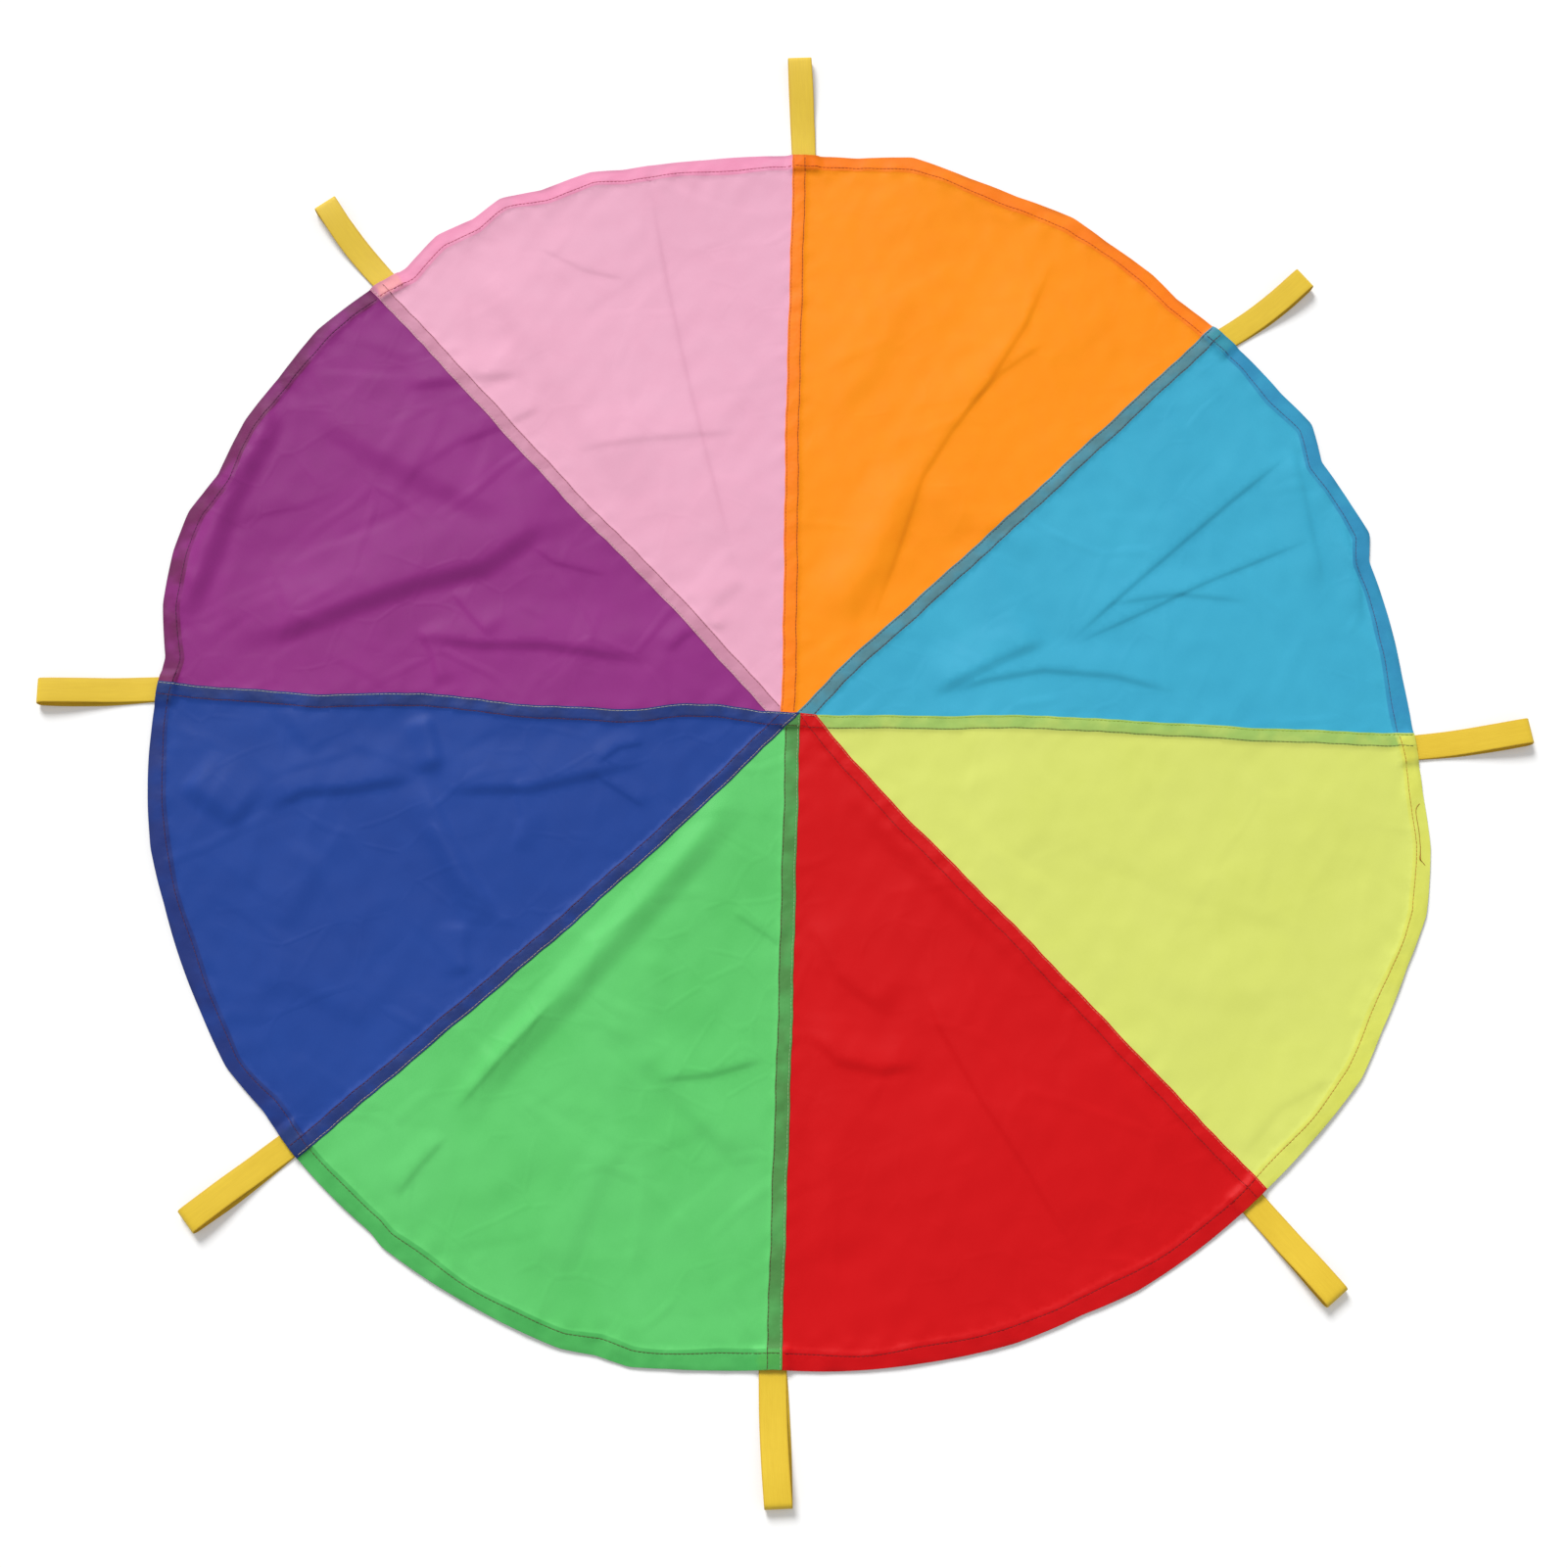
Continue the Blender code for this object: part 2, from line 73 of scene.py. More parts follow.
# A seam: its direction in degrees, then how far its folded edge lies past that line, as
# distance from the centre and offset in millimetres. The straight seam is given by x and y.
SEAMS = {
    "top": (91.6, ((0, 9.6), (50, 8.9), (250, 9.4), (480, 6.5))),
    "upper_right": (45.6, ((0, -2), (50, 3), (250, 3.5), (480, 7.3))),
    "lower_right": (-44.6, ((0, 13.5), (20, 11.5), (60, 8), (120, 6.5), (250, 7.4), (480, 4.2))),
    "bottom": (-89.4, ((0, 4.9), (50, 5.4), (250, 6.4), (480, 6.1))),
    "lower_left": (-134.8, ((0, 3), (120, 8.1), (250, 8.8), (480, 3.8))),
    "upper_left": (135.6, ((0, 15), (50, 12.6), (150, 9.2), (250, 10.2), (480, 2.9))),
}
STRAIGHT = ((-498, 5.3), (-370, 0.5), (-290, 6.3), (-210, -1), (-125, -2), (-89, 4.4), (-55, 5.8),
            (-20, 0.5), (20, -0.3), (50, 1.1), (126, 3.8), (190, 6.9), (350, 3.5), (484, 3.9))

# The hem's kinks, anticlockwise from the right: bearing in degrees and radius in millimetres
RIM = (
    (0.3, 482), (6, 478), (12, 477), (18, 476), (20.6, 485), (24, 481), (29, 477), (32.8, 488),
    (37, 483), (45.6, 481), (51, 480), (54.5, 485.5), (60, 489), (64.2, 495), (70, 493.5),
    (75, 496), (80.8, 503.5), (86, 495.5), (91.6, 494), (101, 496), (109, 502), (112, 509),
    (117, 508.5), (120.8, 516.5), (124, 510.5), (127.7, 514), (132, 504), (135.6, 508),
    (142, 513.5), (148, 510), (153, 511), (158.8, 505.5), (163, 513.5), (167, 512.5), (172, 507),
    (177, 495), (179.6, 497), (186, 500), (194.8, 503), (200, 501), (210, 501.5), (215.5, 503.5),
    (220.5, 498), (225.2, 500), (234.5, 501), (236, 504), (245, 504), (253, 505.5), (256, 502),
    (258.8, 503.5), (262, 499), (266, 495), (270.6, 491.5), (276, 493.5), (283, 495.5), (291, 499),
    (297, 498.5), (302, 502), (315.4, 502), (321, 503.5), (328.5, 507.5), (333, 504), (339, 503),
    (344, 505.5), (350, 499), (355, 489), (357, 486.5), (360.3, 482),
)
RIM_SOFTNESS = 0.25        # degrees over which a kink is rounded

# Folds of the cloth as it was laid down: height, width of the steep side and width of the
# easy side, then the course of the steep side, which faces right along it. Millimetres.
FOLDS = (
    # orange
    (1.3, 5, 46, (52, 62), (75, 130), (96, 205), (118, 245), (148, 290), (178, 345), (205, 418)),
    (2.6, 22, 40, (30, 70), (62, 120), (84, 175), (100, 212)),
    (1.2, 30, 24, (205, 150), (165, 172), (125, 196), (96, 216)),
    (0.9, 20, 50, (18, 240), (60, 300), (90, 380)),
    (0.8, 5, 30, (128, 262), (158, 300), (196, 330)),
    # sky blue
    (1.4, 4.5, 44, (208, 62), (275, 128), (340, 190), (398, 242)),
    (1.1, 4, 40, (212, 64), (255, 86), (325, 124), (412, 166)),
    (2.4, 9, 34, (104, 18), (128, 32), (160, 50), (204, 72)),
    (1.7, 6, 30, (112, 20), (150, 34), (195, 44), (250, 41), (305, 28)),
    (1.6, 24, 60, (192, 60), (176, 100), (152, 158)),
    (2.0, 7, 30, (418, 118), (410, 160), (402, 205), (392, 246)),
    (1.6, 5, 20, (446, 96), (444, 140), (432, 182)),
    (1.0, 5, 24, (240, 100), (300, 112), (360, 108)),
    # yellow
    (0.9, 14, 50, (225, -140), (172, -112), (132, -72), (104, -28)),
    (0.6, 14, 46, (208, -96), (186, -66), (160, -22)),
    (0.6, 16, 60, (200, -92), (300, -130), (418, -166)),
    (0.6, 20, 60, (250, -200), (330, -215), (410, -205)),
    (0.6, 7, 30, (340, -330), (372, -290), (420, -262)),
    # red
    (2.2, 18, 34, (28, -46), (60, -84), (104, -126), (152, -168), (205, -216)),
    (1.5, 6, 50, (98, -192), (118, -240), (148, -290), (186, -345), (226, -412)),
    (1.6, 10, 34, (14, -160), (42, -206), (84, -236)),
    (1.9, 9, 26, (16, -246), (44, -270), (76, -276), (112, -270)),
    (1.1, 20, 44, (28, -290), (34, -350), (30, -420)),
    (1.0, 20, 50, (230, -250), (262, -300), (290, -340)),
    # green
    (4.6, 20, 20, (-236, -336), (-205, -290), (-160, -236), (-110, -172), (-62, -112),
     (-26, -58)),
    (1.4, 5, 9, (-238, -320), (-205, -278), (-168, -232)),
    (1.5, 6, 18, (-276, -384), (-258, -358), (-240, -336)),
    (1.9, 6, 34, (-92, -290), (-50, -284), (-8, -270)),
    (2.2, 16, 34, (-116, -262), (-88, -290), (-58, -322), (-16, -350)),
    (1.4, 20, 44, (-96, -270), (-92, -235), (-84, -190)),
    (1.5, 16, 46, (-150, -442), (-132, -384), (-108, -326)),
    (1.2, 5, 20, (-42, -158), (-20, -172), (2, -186)),
    (1.1, 22, 60, (-220, -400), (-180, -360), (-130, -350)),
    # royal blue
    (2.8, 16, 40, (-472, -78), (-446, -94), (-418, -110)),
    (2.4, 9, 40, (-404, -98), (-374, -80), (-338, -76), (-288, -64)),
    (2.6, 12, 22, (-270, -58), (-276, -32), (-286, -8)),
    (2.2, 9, 40, (-274, -74), (-200, -70), (-150, -56), (-112, -44)),
    (2.2, 9, 26, (-214, -172), (-238, -140), (-262, -100), (-286, -60)),
    (1.3, 6, 14, (-232, -160), (-254, -124), (-276, -92)),
    (1.3, 18, 40, (-374, -192), (-362, -160), (-346, -128)),
    (1.5, 11, 26, (-234, -216), (-240, -196), (-240, -174)),
    (1.1, 5, 16, (-152, -56), (-132, -68), (-110, -82)),
    (1.0, 5, 14, (-150, -48), (-134, -34), (-112, -28)),
    (1.3, 12, 36, (-404, -8), (-388, -30), (-368, -52)),
    (1.1, 16, 46, (-400, -232), (-350, -238), (-300, -262)),
    (1.2, 7, 20, (-214, -60), (-206, -92), (-210, -120)),
    # purple
    (4.8, 18, 66, (-446, 38), (-400, 50), (-350, 74), (-300, 95), (-250, 110), (-215, 138),
     (-178, 152)),
    (2.6, 9, 40, (-306, 52), (-250, 46), (-200, 48), (-150, 42), (-106, 37)),
    (1.6, 7, 18, (-102, 44), (-88, 60), (-70, 70), (-54, 66)),
    (2.4, 20, 64, (-412, 244), (-350, 202), (-300, 180), (-236, 148)),
    (1.8, 9, 36, (-332, 264), (-290, 272), (-228, 282)),
    (1.2, 8, 40, (-284, 214), (-250, 232), (-212, 254)),
    (4.8, 17, 20, (-482, 48), (-468, 102), (-460, 137), (-449, 177), (-433, 216), (-424, 258)),
    (1.4, 7, 26, (-300, 60), (-286, 36), (-280, 10)),
    (1.2, 6, 24, (-276, 92), (-262, 74), (-240, 52)),
    (0.9, 5, 26, (-218, 134), (-196, 118), (-150, 108)),
    # pink
    (1.4, 5, 44, (-50, 118), (-74, 200), (-100, 292), (-120, 372), (-142, 470)),
    (2.0, 22, 60, (-292, 382), (-250, 330), (-214, 280), (-180, 230), (-138, 168)),
    (0.9, 7, 40, (-192, 214), (-130, 228), (-46, 240)),
    (1.2, 12, 32, (-74, 74), (-58, 96), (-40, 110)),
    (0.9, 10, 40, (-176, 172), (-150, 130), (-110, 96)),
    (0.7, 5, 34, (-230, 400), (-190, 380), (-150, 372)),
)


def smooth(value):
    """From 0 to 1, level at both ends."""
    value = np.clip(value, 0.0, 1.0)
    return value * value * (3 - 2 * value)


def course(pairs, where):
    """A seam's offset: its given places joined up, with the slight waver of a machine's feed."""
    given = np.array(pairs, float) * MM
    soft = 7 * MM
    drawn = 0.16 * np.sin(where / (4.1 * MM) + 3 * np.sin(where / (37 * MM)))
    drawn = drawn + 0.28 * np.sin(where / (13 * MM) + 2)
    return drawn * MM + sum(np.interp(where + shift * soft, given[:, 0], given[:, 1])
                            for shift in (-1.5, -0.75, 0, 0.75, 1.5)) / 5


def rim_radius(bearing):
    """Radius in metres of the canopy's edge in a direction given in degrees."""
    kinks = np.array(RIM, float)
    turns = np.linspace(-RIM_SOFTNESS, RIM_SOFTNESS, 5)
    return sum(np.interp((bearing + turn - kinks[0, 0]) % 360 + kinks[0, 0],
                         kinks[:, 0], kinks[:, 1]) for turn in turns) / len(turns) * MM


def inset(points):
    """Distance inwards from the hem's folded edge."""
    bearing = np.degrees(np.arctan2(points[:, 1], points[:, 0]))
    return rim_radius(bearing) - np.hypot(points[:, 0], points[:, 1])


def hem_share(bearing):
    """The hem's width, as a share of the intended one: it was turned by hand."""
    turn = np.radians(bearing)
    return 1 + 0.05 * np.sin(11 * turn + 1) + 0.06 * np.sin(23 * turn) + 0.05 * np.sin(41 * turn)


def hem_line(bearings, depth):
    """Points of the hem at a depth from its folded edge, allowing for its uneven width."""
    ray = np.stack([np.cos(np.radians(bearings)), np.sin(np.radians(bearings))], -1)
    return ray * (rim_radius(bearings) - depth * hem_share(bearings))[:, None]


def hem_depth(points):
    """Distance inwards from the folded edge, on the scale of the hem's width there."""
    return inset(points) / hem_share(np.degrees(np.arctan2(points[:, 1], points[:, 0])))


def along_seam(seam, out, past):
    """Points this far out along a seam and this far past its folded edge."""
    angle = math.radians(SEAMS[seam][0])
    across = course(SEAMS[seam][1], out) + past
    return np.stack([math.cos(angle) * out - math.sin(angle) * across,
                     math.sin(angle) * out + math.cos(angle) * across], -1)


def past_seam(seam, points):
    """How far points lie past a seam's folded edge, anticlockwise."""
    angle = math.radians(SEAMS[seam][0])
    out = points[:, 0] * math.cos(angle) + points[:, 1] * math.sin(angle)
    across = points[:, 1] * math.cos(angle) - points[:, 0] * math.sin(angle)
    return across - course(SEAMS[seam][1], out)


def past_straight(points):
    """How far points lie past the straight seam's folded edge, into the upper half."""
    return points[:, 1] - course(STRAIGHT, points[:, 0])


def waves(points, length, seed):
    """A smooth field of unlike ripples of about this wavelength, mostly from -1 to 1."""
    pick = np.random.RandomState(seed)
    total = 0.0
    for _ in range(7):
        turn, phase = pick.uniform(0, 2 * math.pi, 2)
        pace = 2 * math.pi / (length * pick.uniform(0.75, 1.5))
        total = total + np.sin((points[:, 0] * math.cos(turn) + points[:, 1] * math.sin(turn))
                               * pace + phase)
    return total / 4.0


def folds(points):
    """Height of every fold over the floor, each with a steep side and an easy one."""
    total = np.zeros(len(points))
    for height, steep, easy, *path in FOLDS:
        path = np.array(path, float) * MM
        lengths = np.hypot(*np.diff(path, axis=0).T)
        reached = np.concatenate([[0], np.cumsum(lengths)]) / lengths.sum()
        nearest = np.full(len(points), 1.0)
        side, share = np.zeros(len(points)), np.zeros(len(points))
        for i in range(len(lengths)):
            run = path[i + 1] - path[i]
            to = points - path[i]
            part = np.clip(to @ run / (run @ run), 0, 1)
            off = to - part[:, None] * run
            away = np.hypot(off[:, 0], off[:, 1])
            closer = away < nearest
            nearest = np.where(closer, away, nearest)
            side = np.where(closer, np.sign(run[0] * off[:, 1] - run[1] * off[:, 0]), side)
            share = np.where(closer, reached[i] + part * (reached[i + 1] - reached[i]), share)
        across = side * nearest / MM
        ends = smooth(np.minimum(share, 1 - share) / 0.22)
        up = smooth((across + steep / 2) / steep)
        down = 1 - smooth((across - steep * 0.4) / easy)
        total += height * MM * ends * up * down
    return total


def creases(points):
    """Small straight creases from its bag, all over, and deepest on the left and lower left."""
    pick = np.random.RandomState(5)
    total = np.zeros(len(points))
    for _ in range(230):
        turn, spot = pick.uniform(0, 2 * math.pi), pick.uniform(0, 2 * math.pi)
        foot = np.array([math.cos(spot), math.sin(spot)]) * math.sqrt(pick.uniform(0, 1)) * 0.48
        run = np.array([math.cos(turn), math.sin(turn)])
        reach, height = pick.uniform(18, 70) * MM, pick.uniform(0.12, 0.5) * MM
        if not math.radians(135) < spot < math.radians(270):
            height *= 0.5
        steep, easy = pick.uniform(3.5, 8) * MM, pick.uniform(14, 34) * MM
        rel = points - foot
        along, across = rel @ run / reach, rel[:, 1] * run[0] - rel[:, 0] * run[1]
        across = across + 0.06 * reach * np.sin(3 * along)
        ridge = smooth(across / steep + 0.5) * (1 - smooth((across - 0.4 * steep) / easy))
        total += height * smooth((1 - np.abs(along)) / 0.7) * ridge
    return total


def drape(points):
    """Height of the cloth's lowest layer over the floor."""
    swell = 1.4 * MM * (1 + waves(points, 0.30, 3)) + 0.5 * MM * (1 + waves(points, 0.11, 8))
    crumple = 0.22 * MM * (1 - np.abs(waves(points, 0.050, 21)))
    crumple += 0.12 * MM * waves(points, 0.021, 34)
    seam = np.full(len(points), 1.0)
    for name in SEAMS:
        past = np.abs(past_seam(name, points) + BAND / 2)
        angle = math.radians(SEAMS[name][0])
        ahead = points[:, 0] * math.cos(angle) + points[:, 1] * math.sin(angle) > 0
        seam = np.where(ahead, np.minimum(seam, past), seam)
    seam = np.minimum(seam, np.abs(past_straight(points) + BAND / 2))
    hem = np.abs(hem_depth(points) - HEM)
    taut = 1 - 0.55 * np.exp(-(seam / (9 * MM)) ** 2)
    pucker = 0.30 * MM * np.exp(-(seam / (14 * MM)) ** 2) * (1 + waves(points, 0.017, 55))
    pucker += 0.40 * MM * np.exp(-(hem / (12 * MM)) ** 2) * (1 + waves(points, 0.022, 89))
    level = swell + crumple + (folds(points) + creases(points)) * taut + pucker
    return np.maximum(level, 0.05 * MM)


# The hand loops' places
# Each loop is one webbing doubled on itself with both ends sewn under the hem, which they lift.
# Name, canopy half, bearing on the rim, heading, length past the hem, and the sideways bow of
# the run on the floor and of the run above it, towards the left as seen from the hem.
LOOPS = {
    "top": ("upper", 91.3, 94.5, 94, 0.4, -0.4),
    "upper_right": ("upper", 44.8, 40.3, 87, -3.4, -2.4),
    "right": ("lower", -0.8, 10.2, 90, -1.7, -0.9),
    "lower_right": ("lower", -45.8, -48.0, 88, 0.2, 0.0),
    "bottom": ("lower", -89.4, -85.0, 94, 0.9, -1.2),
    "lower_left": ("lower", -135.8, -139.0, 89, 1.6, -0.3),
    "left": ("lower", 180.0, 184.2, 93, 2.2, 0.3),
    "upper_left": ("upper", 134.3, 129.3, 89, 1.4, 2.6),
}
WEB_WIDTH = 20 * MM
WEB_THICK = 0.95 * MM
TAIL = 12 * MM             # length of the ends under the hem


def loop_foot(name):
    """Where a loop comes out from under the hem, and the direction in which it lies."""
    _, bearing, heading, *_ = LOOPS[name]
    rim, out = (np.array([math.cos(math.radians(turn)), math.sin(math.radians(turn))])
                for turn in (bearing, heading))
    return rim * rim_radius(bearing), out


def loop_frame(name, points):
    """Distance of points out along a loop from the hem, and across it."""
    foot, out = loop_foot(name)
    rel = points - foot
    return rel @ out, rel[:, 1] * out[0] - rel[:, 0] * out[1]


def over_tails(points, soft):
    """1 over the sewn ends of a loop, 0 off them, with a slope of the given width."""
    cover = np.zeros(len(points))
    for name in LOOPS:
        out, across = loop_frame(name, points)
        clear = np.maximum(np.abs(across) - WEB_WIDTH / 2, -out - TAIL)
        cover = np.maximum(cover, 1 - smooth(clear / soft))
    return cover


# The gores
# Each gore is one cut of nylon, its hem and its lap turned under. From the bottom of the pile:
# each next one laps over its neighbour, and the lower half's finished edge covers the upper's.
# Name, half, seam that it laps over, seam where it is lapped, and its sRGB colours: a single
# layer on the floor, the hem's double layer, the felled band, and the hem over webbing.
GORES = (
    ("purple", "upper", None, "upper_left",
     (143, 44, 127), (112, 34, 88), (110, 30, 90), (120, 40, 84)),
    ("pink", "upper", "upper_left", "top",
     (235, 171, 197), (240, 150, 186), (203, 138, 164), (244, 164, 150)),
    ("orange", "upper", "top", "upper_right",
     (255, 146, 12), (250, 126, 20), (254, 131, 24), (250, 120, 14)),
    ("sky_blue", "upper", "upper_right", None,
     (60, 170, 204), (52, 143, 186), (86, 133, 144), (60, 148, 156)),
    ("yellow", "lower", None, "lower_right",
     (215, 223, 110), (219, 223, 98), (159, 194, 99), (226, 221, 86)),
    ("red", "lower", "lower_right", "bottom",
     (208, 10, 16), (203, 9, 16), (206, 12, 17), (206, 20, 14)),
    ("green", "lower", "bottom", "lower_left",
     (96, 201, 108), (76, 176, 90), (80, 139, 73), (88, 182, 84)),
    ("royal_blue", "lower", "lower_left", None,
     (30, 66, 147), (34, 52, 118), (34, 52, 110), (38, 60, 112)),
)
REACH = 0.52               # past the furthest point of the hem
GRID = 3.4 * MM            # between the points of the cloth
EDGE = 2.6 * MM            # and along its edges
BENT = np.array([75, 19]) * MM     # half the patch where the pile of laps bends in the fold
BENT_GRID = 1.5 * MM
HEM_ROW = 11 * MM          # the rows of stitches, inwards from a folded edge
EDGE_ROW, INNER_ROW = 1.2 * MM, 10.4 * MM


def room(gore, points):
    """How far inside a gore's outline points are, negative outside it."""
    _, half, over, under, *_ = gore
    limits = [inset(points)]
    if over:
        limits.append(-past_seam(over, points))
    if under:
        limits.append(past_seam(under, points) + BAND)
    limits.append(-past_straight(points) if half == "lower" else past_straight(points) + BAND)
    return np.min(limits, axis=0)


def band_depth(gore, points):
    """Distance inwards from a gore's folded edge at its felled seam or the straight seam."""
    _, half, over, *_ = gore
    depth = np.full(len(points), 1.0)
    if over:
        depth = np.minimum(depth, -past_seam(over, points))
    if half == "lower":
        depth = np.minimum(depth, -past_straight(points))
    return depth


def thickness(gore, points):
    """The gore's own layers: one, or two where its hem or lap is turned under."""
    turned = np.maximum(1 - smooth((hem_depth(points) - HEM) / STEP),
                        1 - smooth((band_depth(gore, points) - BAND) / STEP))
    return CLOTH * (1 + turned)


def resting(gore, points):
    """Height of a gore's underside: the drape, the webbing and every gore beneath it."""
    level = drape(points) + 2 * (WEB_THICK + AIR) * over_tails(points, 5 * MM)
    for beneath in GORES:
        if beneath is gore:
            break
        covered = smooth(1 + room(beneath, points) / SLOPE)
        level = level + (thickness(beneath, points) + AIR) * covered
    return level


def where_zero(curve, test, low, high):
    """The parameter at which a test on a curve's point changes sign."""
    sign = test(curve(np.array([low])))[0] > 0
    for _ in range(40):
        middle = (low + high) / 2
        if (test(curve(np.array([middle])))[0] > 0) == sign:
            low = middle
        else:
            high = middle
    return low


def spread(low, high, step):
    """Evenly spaced values from low to high, no further apart than the step."""
    return np.linspace(low, high, max(2, math.ceil(abs(high - low) / step) + 1))


def outline(gore):
    """The gore's cut edge: out along one side, round the hem and back to the middle."""
    _, half, over, under, *_ = gore
    shift = 0.0 if half == "lower" else -BAND

    def straight(x):
        return np.stack([x, course(STRAIGHT, x) + shift], -1)

    def off_straight(points):
        return past_straight(points) - shift

    if under:
        def right(out):
            return along_seam(under, out, -BAND)
        start, stop = (where_zero(right, off_straight, -0.05, 0.1),
                       where_zero(right, inset, 0.3, 0.6))
        right_side = right(spread(start, stop, EDGE))
    if over:
        def left(out):
            return along_seam(over, out, 0.0)
        first, last = (where_zero(left, inset, 0.3, 0.6),
                       where_zero(left, off_straight, -0.05, 0.1))
        left_side = left(spread(first, last, EDGE))
    if under and over:
        inner = straight(spread(left_side[-1, 0], right_side[0, 0], EDGE))[1:-1]
    elif over:
        # The clockwise side is the straight seam, from the middle out to the hem
        reach = 1 if half == "upper" else -1
        edge = where_zero(straight, inset, 0.3 * reach, 0.6 * reach)
        right_side = straight(spread(left_side[-1, 0], edge, EDGE))[1:]
        inner = left_side[:0]
    else:
        # The straight seam is the other side, from the hem in to the middle
        reach = -1 if half == "upper" else 1
        edge = where_zero(straight, inset, 0.3 * reach, 0.6 * reach)
        left_side = straight(spread(edge, right_side[0, 0], EDGE))[:-1]
        inner = left_side[:0]
    begin = math.degrees(math.atan2(right_side[-1, 1], right_side[-1, 0]))
    sweep = (math.degrees(math.atan2(left_side[0, 1], left_side[0, 0])) - begin) % 360
    bearings = begin + spread(0, sweep, math.degrees(EDGE / 0.5))[1:-1]
    hem = hem_line(bearings, 0.0)
    return np.concatenate([right_side, hem, left_side, inner]), bearings


def triangle_grid(step, across, up):
    """Points of a triangular grid, from -across to across and from -up to up."""
    columns, rows = int(across / step), int(up / step * 2 / math.sqrt(3))
    i, j = np.meshgrid(np.arange(-columns, columns + 1), np.arange(-rows, rows + 1))
    return np.stack([(i + 0.5 * (j % 2)).ravel() * step, j.ravel() * step * math.sqrt(3) / 2], -1)


def cut_lines(gore, bearings):
    """Where a slope from two layers to one begins and ends, as lines that the mesh follows."""
    _, half, over, *_ = gore
    lines = [hem_line(bearings, depth) for depth in (HEM, HEM + STEP)]
    for depth in (BAND, BAND + STEP):
        if over:
            lines.append(along_seam(over, spread(0.0, REACH, EDGE * 1.2), -depth))
        if half == "lower":
            x = spread(-REACH, REACH, EDGE * 1.2)
            lines.append(np.stack([x, course(STRAIGHT, x) - depth], -1))
    lines = [line[room(gore, line) > 1.0 * MM] for line in lines]
    return [line for line in lines if len(line) > 1]


def fold_points(gore):
    """Points along the steep side of each fold that is too narrow for the grid."""
    found = []
    for _, steep, _, *path in FOLDS:
        if steep * 0.3 * MM >= GRID:
            continue
        path = np.array(path, float) * MM
        spots = np.concatenate([[0], np.cumsum(np.hypot(*np.diff(path, axis=0).T))])
        stops = spread(0, spots[-1], 2.4 * MM)
        middle = np.stack([np.interp(stops, spots, path[:, 0]),
                           np.interp(stops, spots, path[:, 1])], -1)
        flow = np.gradient(middle, axis=0)
        left = np.stack([-flow[:, 1], flow[:, 0]], -1) / np.hypot(*flow.T)[:, None]
        for share in (-0.5, -0.2, 0.1, 0.45):
            line = middle + left * share * steep * MM
            found.append(line[room(gore, line) > 3.0 * MM])
    return np.concatenate(found)


def grid_points(gore, folded):
    """The grid inside a gore, with room to its edge, lines and folds, so no slivers form."""
    _, half, over, *_ = gore
    grid = triangle_grid(GRID, REACH, REACH)
    if half == "upper":
        grid = np.concatenate([grid[(np.abs(grid) > BENT).any(1)],
                               triangle_grid(BENT_GRID, *BENT)])
    grid = grid[room(gore, grid) > 1.8 * MM]
    slopes = [hem_depth(grid) - HEM]
    if over:
        slopes.append(-past_seam(over, grid) - BAND)
    if half == "lower":
        slopes.append(-past_straight(grid) - BAND)
    grid = grid[np.abs(np.array(slopes) - STEP / 2).min(0) > 1.5 * MM]
    for part in range(0, len(folded), 400):     # a part at a time, for the memory's sake
        away = np.abs(grid[:, None] - folded[None, part:part + 400]).max(2).min(1)
        grid = grid[away > 1.7 * MM]
    return grid


def carry(mesh, name, values):
    """Give each point of a mesh a vector for its material to read."""
    data = mesh.attributes.new(name, "FLOAT_VECTOR", "POINT").data
    data.foreach_set("vector", np.asarray(values, np.float32).ravel())


def set_down(mesh):
    """A smooth object made of a mesh, in the scene."""
    mesh.shade_smooth()
    made = bpy.data.objects.new(mesh.name, mesh)
    bpy.context.scene.collection.objects.link(made)
    return made


